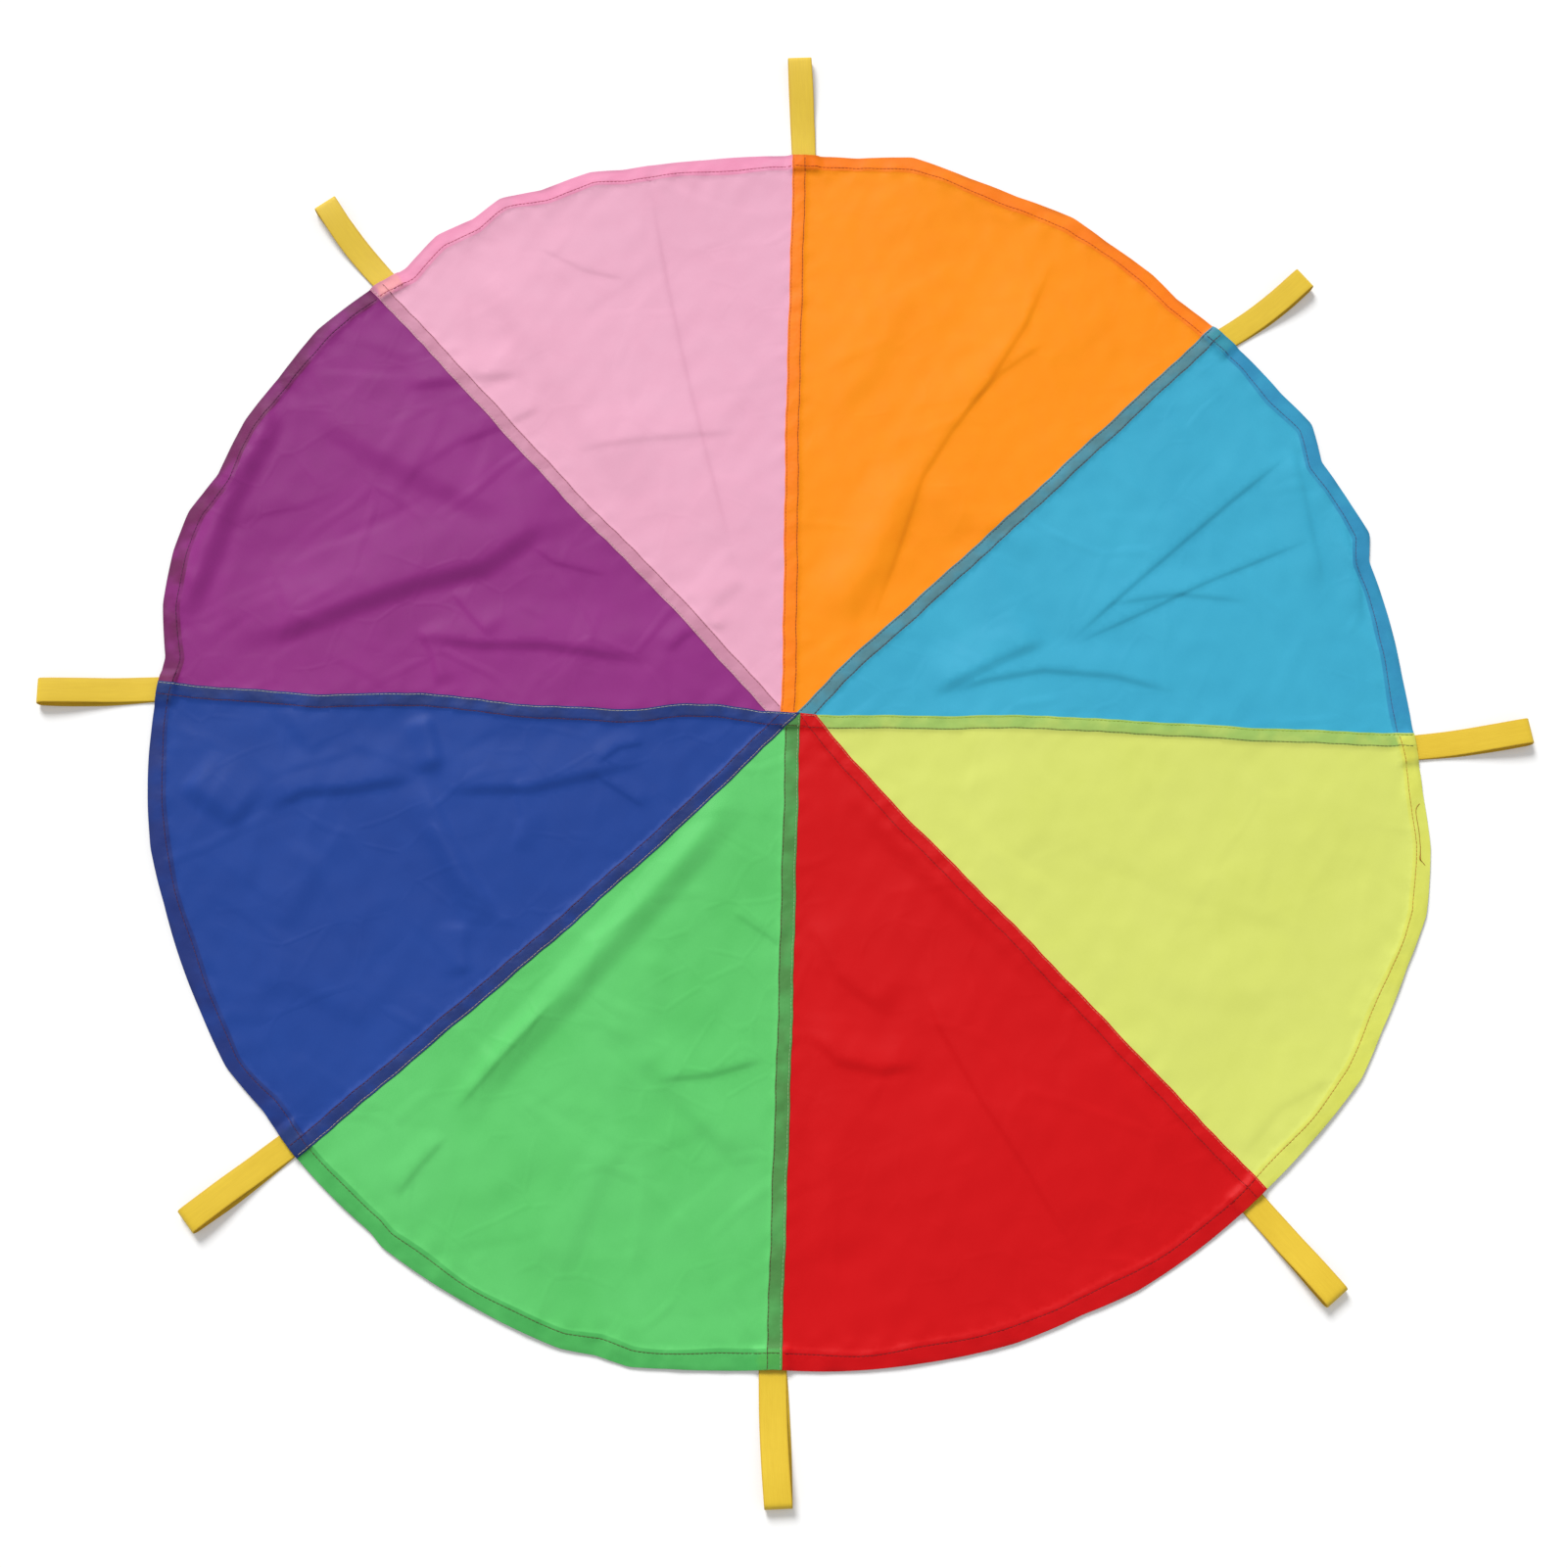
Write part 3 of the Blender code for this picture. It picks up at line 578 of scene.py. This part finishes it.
def make_gore(gore):
    """Top and underside of the cloth as it lies, closed round its edges."""
    edge, bearings = outline(gore)
    points, links = list(edge), []
    for line in cut_lines(gore, bearings):
        links += [(i, i + 1) for i in range(len(points), len(points) + len(line) - 1)]
        points += list(line)
    folded = fold_points(gore)
    points += [*folded, *grid_points(gore, folded)]
    flat, _, faces, *_ = delaunay_2d_cdt([Vector(p) for p in points], links,
                                         [list(range(len(edge)))], 1, 1e-7)
    flat = np.array([tuple(p) for p in flat])
    faces = np.array([tuple(f) for f in faces])
    low = resting(gore, flat)
    thick = thickness(gore, flat)

    # The edge of one layer or two is round: a ring of points half-way up, a little further out
    sides = np.concatenate([faces[:, [0, 1]], faces[:, [1, 2]], faces[:, [2, 0]]])
    known = {tuple(s) for s in sides}
    border = [s for s in known if (s[1], s[0]) not in known]
    after, before = dict(border), {b: a for a, b in border}
    ring = list(after)
    count = len(flat)
    place = {v: 2 * count + n for n, v in enumerate(ring)}
    middle = []
    for v in ring:
        along = flat[after[v]] - flat[before[v]]
        outwards = np.array([along[1], -along[0]]) / max(np.hypot(*along), 1e-9)
        bulge = thick[v] * 0.35
        middle.append((*(flat[v] + outwards * bulge), low[v] + thick[v] / 2))
    verts = ([(x, y, z) for (x, y), z in zip(flat, low)]
             + [(x, y, z) for (x, y), z in zip(flat, low + thick)] + middle)
    polys = [(c, b, a) for a, b, c in faces] + [tuple(f + count) for f in faces]
    for a, b in border:
        polys.append((a, b, place[b], place[a]))
        polys.append((place[a], place[b], b + count, a + count))
    mesh = bpy.data.meshes.new(f"{gore[0]}_cloth")
    mesh.from_pydata(verts, [], polys)
    mesh.validate()

    # For the material: each point's place on the floor, its depths in the hem and in the felled
    # band, and whether it lies over a loop's ends
    whole = np.concatenate([flat, flat, flat[ring]])
    zone = np.stack([hem_depth(whole), np.minimum(band_depth(gore, whole), 0.1),
                     over_tails(whole, 0.8 * MM)], -1)
    carry(mesh, "plan", np.column_stack([whole, np.zeros(len(whole))]))
    carry(mesh, "zone", zone)
    cloth = set_down(mesh)
    rings = np.zeros(len(verts), int)
    rings[ring] = 1
    rings[np.array(ring) + count] = 2
    ends = np.empty(2 * len(mesh.edges), int)
    mesh.edges.foreach_get("vertices", ends)
    ends = rings[ends.reshape(-1, 2)]
    sharp = mesh.attributes.new("sharp_edge", "BOOLEAN", "EDGE").data
    sharp.foreach_set("value", (ends[:, 0] > 0) & (ends[:, 0] == ends[:, 1]))
    return cloth


class Socket:
    """A shader value that arithmetic adds Math nodes to."""

    def __init__(self, tree, link):
        self.tree, self.link = tree, link

    def node(self, kind, settings=None, out=0, **sockets):
        made = self.tree.nodes.new(kind)
        for key, value in (settings or {}).items():
            setattr(made, key, value)
        for key, value in sockets.items():
            socket = made.inputs[int(key[1:])] if key[0] == "i" and key[1:].isdigit() \
                else made.inputs[key.replace("_", " ")]
            if isinstance(value, Socket):
                self.tree.links.new(value.link, socket)
            else:
                socket.default_value = value
        return Socket(self.tree, made.outputs[out])

    def math(self, operation, a, b=0.0):
        return self.node("ShaderNodeMath", {"operation": operation}, i0=a, i1=b)

    def __add__(self, other):
        return self.math("ADD", self, other)

    def __radd__(self, other):
        return self.math("ADD", other, self)

    def __sub__(self, other):
        return self.math("SUBTRACT", self, other)

    def __rsub__(self, other):
        return self.math("SUBTRACT", other, self)

    def __mul__(self, other):
        return self.math("MULTIPLY", self, other)

    def __rmul__(self, other):
        return self.math("MULTIPLY", other, self)

    def ramp(self, start, end):
        """0 below start, 1 above end."""
        return self.node("ShaderNodeMapRange", {"clamp": True, "interpolation_type": "SMOOTHSTEP"},
                         Value=self, From_Min=start, From_Max=end)

    def mix(self, a, b):
        """Colour a where this is 0, b where it is 1."""
        return self.node("ShaderNodeMix", {"data_type": "RGBA"}, out=2, i0=self, i6=a, i7=b)

    def attribute(self, name):
        """What the mesh carries under this name at each of its points."""
        return self.node("ShaderNodeAttribute", {"attribute_name": name}, out=1)

    def part(self, number):
        """One of a position's three values."""
        return self.node("ShaderNodeSeparateXYZ", out=number, Vector=self)

    def noise(self, scale, detail=2.0, roughness=0.5, out=0):
        return self.node("ShaderNodeTexNoise", out=out, Vector=self, Scale=scale, Detail=detail,
                         Roughness=roughness)

    def bands(self, direction, scale, distortion=0.0, detail=2.0):
        return self.node("ShaderNodeTexWave", {"bands_direction": direction}, Vector=self,
                         Scale=scale, Distortion=distortion, Detail=detail)

    def shifted(self, colour, reach):
        """This position, moved about by up to half of reach."""
        around = self.node("ShaderNodeVectorMath", {"operation": "MULTIPLY_ADD"},
                           i0=colour, i1=(reach, reach, 0.0), i2=(-reach / 2, -reach / 2, 0.0))
        return self.node("ShaderNodeVectorMath", {"operation": "ADD"}, i0=self, i1=around)

    def cracks(self, scale, width):
        """1 along a net of straight creases, falling to 0 beside them."""
        away = self.node("ShaderNodeTexVoronoi", {"feature": "DISTANCE_TO_EDGE"},
                         Vector=self, Scale=scale)
        return 1 - away.ramp(0.0, width)

    def beside(self, centre, width):
        """1 where this value is at centre, 0 from width away."""
        return 1 - self.math("ABSOLUTE", self - centre).ramp(0.0, width)

    def stretched(self, x, y):
        """This position, scaled unlike along and across."""
        return self.node("ShaderNodeVectorMath", {"operation": "MULTIPLY"}, i0=self, i1=(x, y, 1.0))


def linear(colour):
    """An sRGB colour from 0 to 255, as the light that it reflects."""
    values = [c / 255 for c in colour]
    return (*[v / 12.92 if v <= 0.04045 else ((v + 0.055) / 1.055) ** 2.4 for v in values], 1.0)


def new_material(name):
    """A material, its shader, and a socket from which its expressions start."""
    material = bpy.data.materials.new(name)
    material.use_nodes = True
    tree = material.node_tree
    shader = tree.nodes["Principled BSDF"]
    return material, shader, Socket(tree, None)


def plug(shader, **sockets):
    """Set a shader's sockets to values, or link expressions to them."""
    for key, value in sockets.items():
        socket = shader.inputs[key.replace("_", " ")]
        if isinstance(value, Socket):
            value.tree.links.new(value.link, socket)
        else:
            socket.default_value = value


# How far each gore is creased, how patchy its double layers are and how cloudy the single one is
WEAR = {
    "purple": (1.0, 0.75, 1.3),
    "pink": (0.45, 0.3, 0.8),
    "orange": (0.5, 0.3, 0.6),
    "sky_blue": (0.8, 0.35, 1.3),
    "yellow": (0.35, 0.3, 1.0),
    "red": (0.6, 0.3, 1.0),
    "green": (1.2, 0.35, 2.2),
    "royal_blue": (1.0, 0.5, 1.2),
}


def nylon(gore):
    """Calendered plain-weave nylon: even colour, faint slubs, deeper where layers lie double."""
    name, _, _, _, single, hem, band, tape = gore
    creased, patched, clouded = WEAR[name]
    material, shader, at = new_material(f"{name}_nylon")
    plan, zone = at.attribute("plan"), at.attribute("zone")
    depth, past, tails = (zone.part(number) for number in range(3))
    uneven = plan.noise(38.0, 1.0)
    patchy = plan.noise(32.0, 2.0, 0.6).ramp(0.32, 0.60) * patched + (1 - patched)
    in_hem = 1 - depth.ramp(HEM - 0.4 * MM, HEM + 0.6 * MM)
    rolled = (1 - depth.ramp(0.0, 4.5 * MM)) * uneven.ramp(0.35, 0.75)
    in_band = 1 - past.ramp(BAND - 0.3 * MM, BAND + 0.5 * MM)
    colour = (in_hem * patchy).mix(linear(single), linear(hem))
    colour = (in_band * patchy * (1 - in_hem * 0.35)).mix(colour, linear(band))
    colour = (tails * in_hem * 0.6).mix(colour, linear(tape))
    colour = (rolled * 0.55).mix(colour, linear([c * 0.82 for c in hem]))
    cloudy = plan.noise(9.0, 3.0, 0.55)
    blotch = plan.noise(55.0, 2.0, 0.5)
    warp = plan.stretched(260.0, 2600.0).noise(1.0, 2.0, 0.6)
    weft = plan.stretched(2600.0, 260.0).noise(1.0, 2.0, 0.6)
    tone = (cloudy - 0.5) * (0.16 * clouded) + (blotch - 0.5) * 0.07 + (warp + weft - 1.0) * 0.08
    tone = tone + 0.5
    shade = tone.node("ShaderNodeCombineColor", Red=tone, Green=tone, Blue=tone)
    colour = at.node("ShaderNodeMix", {"data_type": "RGBA", "blend_type": "SOFT_LIGHT"}, out=2,
                     i0=0.9, i6=colour, i7=shade)
    bent = plan.shifted(plan.noise(7.0, 2.0, 0.5, out=1), 0.05)
    crease = bent.cracks(11.0, 0.07) * cloudy.ramp(0.42, 0.62)
    crinkle = bent.cracks(27.0, 0.09) * (1 - cloudy.ramp(0.38, 0.58))
    ends, picks = (plan.bands(direction, 900.0, 0.6, 1.0) for direction in "XY")
    rows = (depth.beside(HEM_ROW, 0.9 * MM) + past.beside(EDGE_ROW, 0.7 * MM)
            + past.beside(INNER_ROW, 0.9 * MM))
    near_rows = depth.beside(HEM_ROW, 9 * MM) + past.beside(BAND / 2, 11 * MM)
    pucker = plan.noise(150.0, 1.0) * near_rows
    relief = ((crease * 0.30 + crinkle * 0.10) * creased + blotch * 0.10 + pucker * 0.40 - rows * 0.12
              + (ends + picks) * 0.008)
    bump = at.node("ShaderNodeBump", Strength=1.0, Distance=MM, Height=relief)
    plug(shader, Base_Color=colour, Roughness=0.50 + (warp - 0.5) * 0.2 + (blotch - 0.5) * 0.1,
         Normal=bump, Sheen_Weight=0.04, Sheen_Roughness=0.4, Specular_IOR_Level=0.13)
    return material


# The stitching
# Polyester sewing thread: a row round the hem, and two rows through each felled seam, one at
# its folded edge and one at the inner edge of the band. Stitches stand a little proud of the
# cloth. One thread end was left long beside the hem's row, on the yellow gore.
PITCH = 3.2 * MM
THREAD = 0.24 * MM         # radius
SIDES = 6                  # of a thread's mesh

# Thread as it shows on each gore: hem row, edge row and inner row of its felled seam, and the
# same two rows along the straight seam
THREADS = {
    "purple": ((84, 28, 66), None, None, None, None),
    "pink": ((236, 110, 150), (240, 205, 205), (176, 110, 118), None, None),
    "orange": ((222, 92, 32), (240, 120, 50), (150, 60, 34), None, None),
    "sky_blue": ((86, 92, 140), (108, 112, 118), (96, 44, 48), None, None),
    "yellow": ((222, 160, 60), None, None, (200, 232, 90), (128, 120, 58)),
    "red": ((150, 12, 18), (255, 140, 105), (150, 14, 20), (255, 140, 105), (150, 14, 20)),
    "green": ((96, 92, 52), (168, 214, 150), (96, 70, 48), (168, 214, 150), (96, 70, 48)),
    "royal_blue": ((84, 40, 74), (206, 186, 164), (100, 46, 76), (206, 208, 202), (104, 44, 74)),
}


def top_of(gore, points):
    """Height of a gore's upper face."""
    return resting(gore, points) + thickness(gore, points)


def uppermost(gore, points):
    """Where this gore is the one on top."""
    open_to_view = room(gore, points) > 0.2 * MM
    for above in GORES[GORES.index(gore) + 1:]:
        open_to_view &= room(above, points) < 0
    return open_to_view


def tube(path, lift, radius):
    """A thread: rings of points round a path, raised by lift, closed at both ends."""
    run = np.gradient(path, axis=0)
    run /= np.linalg.norm(run, axis=1)[:, None]
    side = np.cross(run, (0, 0, 1.0))
    side /= np.linalg.norm(side, axis=1)[:, None]
    up = np.cross(side, run)
    turns = np.arange(SIDES) * 2 * math.pi / SIDES
    rings = (path[:, None] + np.array([0, 0, 1.0]) * lift[:, None, None]
             + radius[:, None, None] * (side[:, None] * np.cos(turns)[:, None]
                                        + up[:, None] * np.sin(turns)[:, None]))
    faces = [[i * SIDES + j, i * SIDES + (j + 1) % SIDES,
              (i + 1) * SIDES + (j + 1) % SIDES, (i + 1) * SIDES + j]
             for i in range(len(path) - 1) for j in range(SIDES)]
    faces.append(list(range(SIDES))[::-1])
    faces.append([(len(path) - 1) * SIDES + j for j in range(SIDES)])
    return rings.reshape(-1, 3), faces


# The end that was left long on the yellow gore: bearing in degrees, depth from the hem's folded
# edge in millimetres, and the thread's thickness there, which a knot makes larger
LOOSE_END = np.array((
    (353.9, 3.6, 0.9), (353.7, 5.6, 1.0), (353.3, 7.8, 1.0), (352.5, 8.2, 1.0), (351.4, 7.7, 1.0),
    (350.2, 8.3, 1.0), (349.3, 8.1, 1.1), (348.9, 8.4, 2.3), (348.7, 8.2, 2.5), (348.6, 7.0, 1.0),
    (348.4, 5.0, 0.9), (348.3, 4.0, 0.8)))

STITCH_STEPS = np.linspace(0, 1, 6)
STITCH_ARCH = (np.sin(math.pi * STITCH_STEPS) ** 0.6 * 0.15 - 0.06) * MM
STITCH_BODY = THREAD * np.array([0.85, 1.0, 1.05, 1.05, 1.0, 0.85])


def stitches(gore, line):
    """Stitches along a row, wherever the gore that they are sewn through is uppermost."""
    steps = np.hypot(*np.diff(line, axis=0).T)
    reach = np.concatenate([[0], np.cumsum(steps)])
    starts = np.arange(PITCH / 2, reach[-1] - PITCH, PITCH)
    at = (starts[:, None] + STITCH_STEPS * PITCH * 0.9).ravel()
    flat = np.stack([np.interp(at, reach, line[:, 0]), np.interp(at, reach, line[:, 1])], -1)
    shown = uppermost(gore, flat).reshape(len(starts), -1).all(1)
    paths = np.column_stack([flat, top_of(gore, flat)]).reshape(len(starts), -1, 3)
    return list(paths[shown])


def thread_material(label, colour):
    """Spun thread: two plies twisted together, with painted shade in the grooves between them."""
    material, shader, at = new_material(label)
    strand = at.attribute("strand")
    plies = strand.bands("DIAGONAL", 1.1)
    fuzz = strand.noise(3.0, 2.0)
    # Painted shade: a darker copy of the thread's colour, laid in the grooves between the plies and
    # in a random fuzz of tone
    dark = linear([c * 0.72 for c in colour])
    plug(shader, Base_Color=(plies * 0.6 + fuzz * 0.4).mix(dark, linear(colour)),
         Roughness=0.42 + fuzz * 0.2, Specular_IOR_Level=0.3,
         Normal=at.node("ShaderNodeBump", Strength=0.5, Distance=0.00005, Height=plies))
    return material


def sew(gore):
    """All the stitches of one gore, as one mesh."""
    name, half, over, under, *_ = gore
    start = SEAMS[under][0] if under else (0.0 if half == "upper" else 180.0)
    rows = [(hem_line(start + np.arange(-3, 50, 0.08), HEM_ROW), THREADS[name][0])]
    out = np.arange(-0.012, REACH + 0.01, 0.5 * MM)
    if over:
        rows += [(along_seam(over, out, -depth), colour)
                 for depth, colour in zip((EDGE_ROW, INNER_ROW), THREADS[name][1:3])]
    if half == "lower":
        x = np.arange(-REACH, REACH, 0.5 * MM)
        rows += [(np.stack([x, course(STRAIGHT, x) - depth], -1), colour)
                 for depth, colour in zip((EDGE_ROW, INNER_ROW), THREADS[name][3:5])]
    pieces = [(colour, path, STITCH_ARCH, STITCH_BODY)
              for line, colour in rows for path in stitches(gore, line)]
    if name == "yellow":
        at = np.linspace(0, len(LOOSE_END) - 1, 67)
        bearing, depth, share = (sum(np.interp(at + by, np.arange(len(LOOSE_END)), column)
                                     for by in (-0.4, 0, 0.4)) / 3 for column in LOOSE_END.T)
        flat = hem_line(bearing, depth * MM)
        pieces.append(((196, 138, 48), np.column_stack([flat, top_of(gore, flat)]),
                       0.8 * THREAD * share, THREAD * share))
    verts, faces, kinds, strand, labels, total = [], [], [], [], [], 0
    for colour, path, lift, body in pieces:
        if colour not in labels:
            labels.append(colour)
        rings, quads = tube(path, lift, body)
        faces += [[v + total for v in quad] for quad in quads]
        verts.append(rings)
        kinds += [labels.index(colour)] * len(quads)
        i = np.arange(len(rings))
        strand.append(np.stack([i // SIDES * 1.6 + len(verts) * 0.7, i % SIDES * 1.05, 0 * i], -1))
        total += len(rings)
    mesh = bpy.data.meshes.new(f"{name}_stitching")
    mesh.from_pydata([tuple(v) for v in np.concatenate(verts)], [], faces)
    for colour in labels:
        mesh.materials.append(thread_material(f"{name}_thread_{labels.index(colour)}", colour))
    mesh.polygons.foreach_set("material_index", kinds)
    carry(mesh, "strand", np.concatenate(strand))
    return set_down(mesh)


for gore in GORES:
    gore_name, gore_half = gore[:2]
    cloth = make_gore(gore)
    cloth.data.materials.append(nylon(gore))
    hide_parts(f"{gore_name}_gore")
    rows = sew(gore)
    for piece in (cloth, rows):
        if gore_half == "upper":
            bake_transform(piece)
        else:
            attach(piece, "lower_half")

# The hand loops
# Yellow polypropylene webbing, 20 mm wide and soft, doubled on itself with no stitching past
# the hem. The run above stands off the one below and turns down in a drop at the tip.
RISE = 7.0 * MM            # of the run above over the floor's, at the tip


def make_loop(name):
    """The webbing as one long strip, from one end under the hem round the tip to the other."""
    _, _, _, length, bow_below, bow_above = LOOPS[name]
    length *= MM
    drop = (RISE + WEB_THICK) / 2
    below, above = WEB_THICK / 2 + 0.05 * MM, WEB_THICK * 1.5 + AIR + 0.05 * MM
    runs = spread(-TAIL, length - drop, 2 * MM)
    lower = np.stack([runs, np.full(len(runs), below), 0 * runs], -1)
    turn = np.linspace(0, math.pi, 11)[1:-1]
    round_tip = np.stack([length - drop + drop * np.sin(turn) ** 0.8,
                          below + drop * (1 - np.cos(turn)), 0.5 - 0.5 * np.cos(turn)], -1)
    share = np.clip(runs / (length - drop), 0, 1)
    rise = (2 * drop + below - above) * smooth(share ** 1.25)
    upper = np.stack([runs, above + rise, 0 * runs + 1], -1)[::-1]
    path = np.concatenate([lower, round_tip, upper])
    sway = np.sin(math.pi * np.clip(path[:, 0] / length, 0, 1)) * MM
    middle = sway * (bow_below + (bow_above - bow_below) * path[:, 2])
    flow = np.gradient(path[:, :2], axis=0)
    flow /= np.hypot(flow[:, 0], flow[:, 1])[:, None]
    reach = np.concatenate([[0], np.cumsum(np.hypot(*np.diff(path[:, :2], axis=0).T))])
    w, t = WEB_WIDTH / 2, WEB_THICK / 2
    # Round the webbing: place across it, and share of half its thickness, less at the selvedges
    section = [(-w, -0.25), (-w + 0.5 * t, -0.85), (-w + 1.6 * t, -1), (-w * 0.45, -1),
               (0, -1), (w * 0.45, -1), (w - 1.6 * t, -1), (w - 0.5 * t, -0.85), (w, -0.25),
               (w, 0.25), (w - 0.5 * t, 0.85), (w - 1.6 * t, 1), (w * 0.45, 1), (0, 1),
               (-w * 0.45, 1), (-w + 1.6 * t, 1), (-w + 0.5 * t, 0.85), (-w, 0.25)]
    foot, out = loop_foot(name)
    across = np.array([-out[1], out[0]])
    seed = 100 + list(LOOPS).index(name)
    uneven = waves(np.column_stack([reach, 0 * reach]), 0.035, seed) * 0.12 * MM
    verts, weave = [], []
    for i, (along, height, _) in enumerate(path):
        up = np.array([-flow[i, 1], flow[i, 0]])
        for aside, face in section:
            lift = t * face
            a, z = along + up[0] * lift, height + up[1] * lift
            side = middle[i] + aside + uneven[i] * (1 if abs(aside) > w * 0.8 else 0)
            xy = foot + out * a + across * side
            verts.append((xy[0], xy[1], max(z, 0.02 * MM)))
            weave.append((reach[i], aside, face))
    n = len(section)
    faces = [(i * n + j, (i + 1) * n + j, (i + 1) * n + (j + 1) % n, i * n + (j + 1) % n)
             for i in range(len(path) - 1) for j in range(n)]
    faces += [tuple(range(n)), tuple(range(len(path) * n - 1, len(path) * n - n - 1, -1))]
    mesh = bpy.data.meshes.new(f"{name}_webbing")
    mesh.from_pydata(verts, [], faces)
    carry(mesh, "weave", weave)
    return set_down(mesh)


def webbing_material():
    """Narrow-woven webbing: ribs across, a fine herringbone, firmer and darker selvedges."""
    material, shader, at = new_material("yellow_webbing")
    weave = at.attribute("weave")
    across = weave.part(1)
    selvedge = across.math("ABSOLUTE", across).ramp(WEB_WIDTH * 0.42, WEB_WIDTH * 0.5)
    ribs, cords = weave.bands("X", 420.0, 1.2, 1.0), weave.bands("Y", 260.0, 0.4)
    streaks = weave.stretched(40.0, 900.0).noise(1.0, 2.0, 0.6)
    cloudy = weave.noise(45.0, 2.0)
    colour = (streaks * 0.6 + cloudy * 0.4).mix(linear((216, 178, 36)), linear((240, 206, 58)))
    colour = (selvedge * 0.5).mix(colour, linear((196, 152, 26)))
    bump = at.node("ShaderNodeBump", Strength=0.45, Distance=0.00012,
                   Height=ribs * 0.5 + cords * 0.5)
    plug(shader, Base_Color=colour, Roughness=0.55 + (streaks - 0.5) * 0.2, Normal=bump,
         Sheen_Weight=0.1, Specular_IOR_Level=0.3)
    return material


# A stretch of the webbing, from under the hem to just past it, and a height; nothing in this script
# bends the webbing over it
BEND_FROM, BEND_TO, BEND_HEIGHT = -1 * MM, 8 * MM, 3 * MM

webbing = webbing_material()
for loop_name, (loop_half, *_) in LOOPS.items():
    strap = make_loop(loop_name)
    strap_foot, strap_out = loop_foot(loop_name)
    strap.data.materials.append(webbing)
    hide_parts(f"{loop_name}_loop")
    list(strap_foot + strap_out * BEND_FROM)
    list(strap_foot + strap_out * BEND_TO)
    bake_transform(strap)

# The floor and the light
# A white paper sweep under one broad, soft light from the far left, in an even white surround.
# Both look white to the camera, and light the cloth less than that, as the photograph has it.
SURROUND = 0.42            # the strength of the surround's light on the cloth


def seen_by_camera(at):
    """1 for rays from the camera, straight or by a mirror or through glass, 0 for light."""
    seen = at.node("ShaderNodeLightPath")
    for kind in ("Is Glossy Ray", "Is Transmission Ray"):
        seen = at.math("MAXIMUM", seen, at.node("ShaderNodeLightPath", out=kind))
    return seen


floor = bpy.data.objects.new("floor", bpy.data.meshes.new("floor"))
floor.data.from_pydata([(-6, -6, 0), (6, -6, 0), (6, 6, 0), (-6, 6, 0)], [], [(0, 1, 2, 3)])
bpy.context.scene.collection.objects.link(floor)
white, white_shader, at = new_material("studio_white")
seen = seen_by_camera(at)
plug(white_shader, Base_Color=seen.mix((0.72, 0.72, 0.72, 1.0), (0.90, 0.90, 0.90, 1.0)),
     Emission_Color=seen.mix((0.0, 0.0, 0.0, 1.0), (0.13, 0.13, 0.13, 1.0)), Emission_Strength=1.0,
     Roughness=0.95, Specular_IOR_Level=0.0)
floor.data.materials.append(white)

world = bpy.data.worlds.new("studio")
world.use_nodes = True
bpy.context.scene.world = world
surround = world.node_tree.nodes["Background"]
surround.inputs["Color"].default_value = (1.0, 1.0, 1.0, 1.0)
shown = seen_by_camera(Socket(world.node_tree, None))
plug(surround, Strength=shown * (1 - SURROUND) + SURROUND)

lamp = bpy.data.lights.new("window", "SUN")
lamp.energy = 2.9
lamp.angle = math.radians(24)
window = bpy.data.objects.new("window", lamp)
window.rotation_euler = Vector((0.42, -0.95, -0.85)).to_track_quat("-Z", "Y").to_euler()
bpy.context.scene.collection.objects.link(window)
bpy.context.scene.view_settings.view_transform = "Standard"
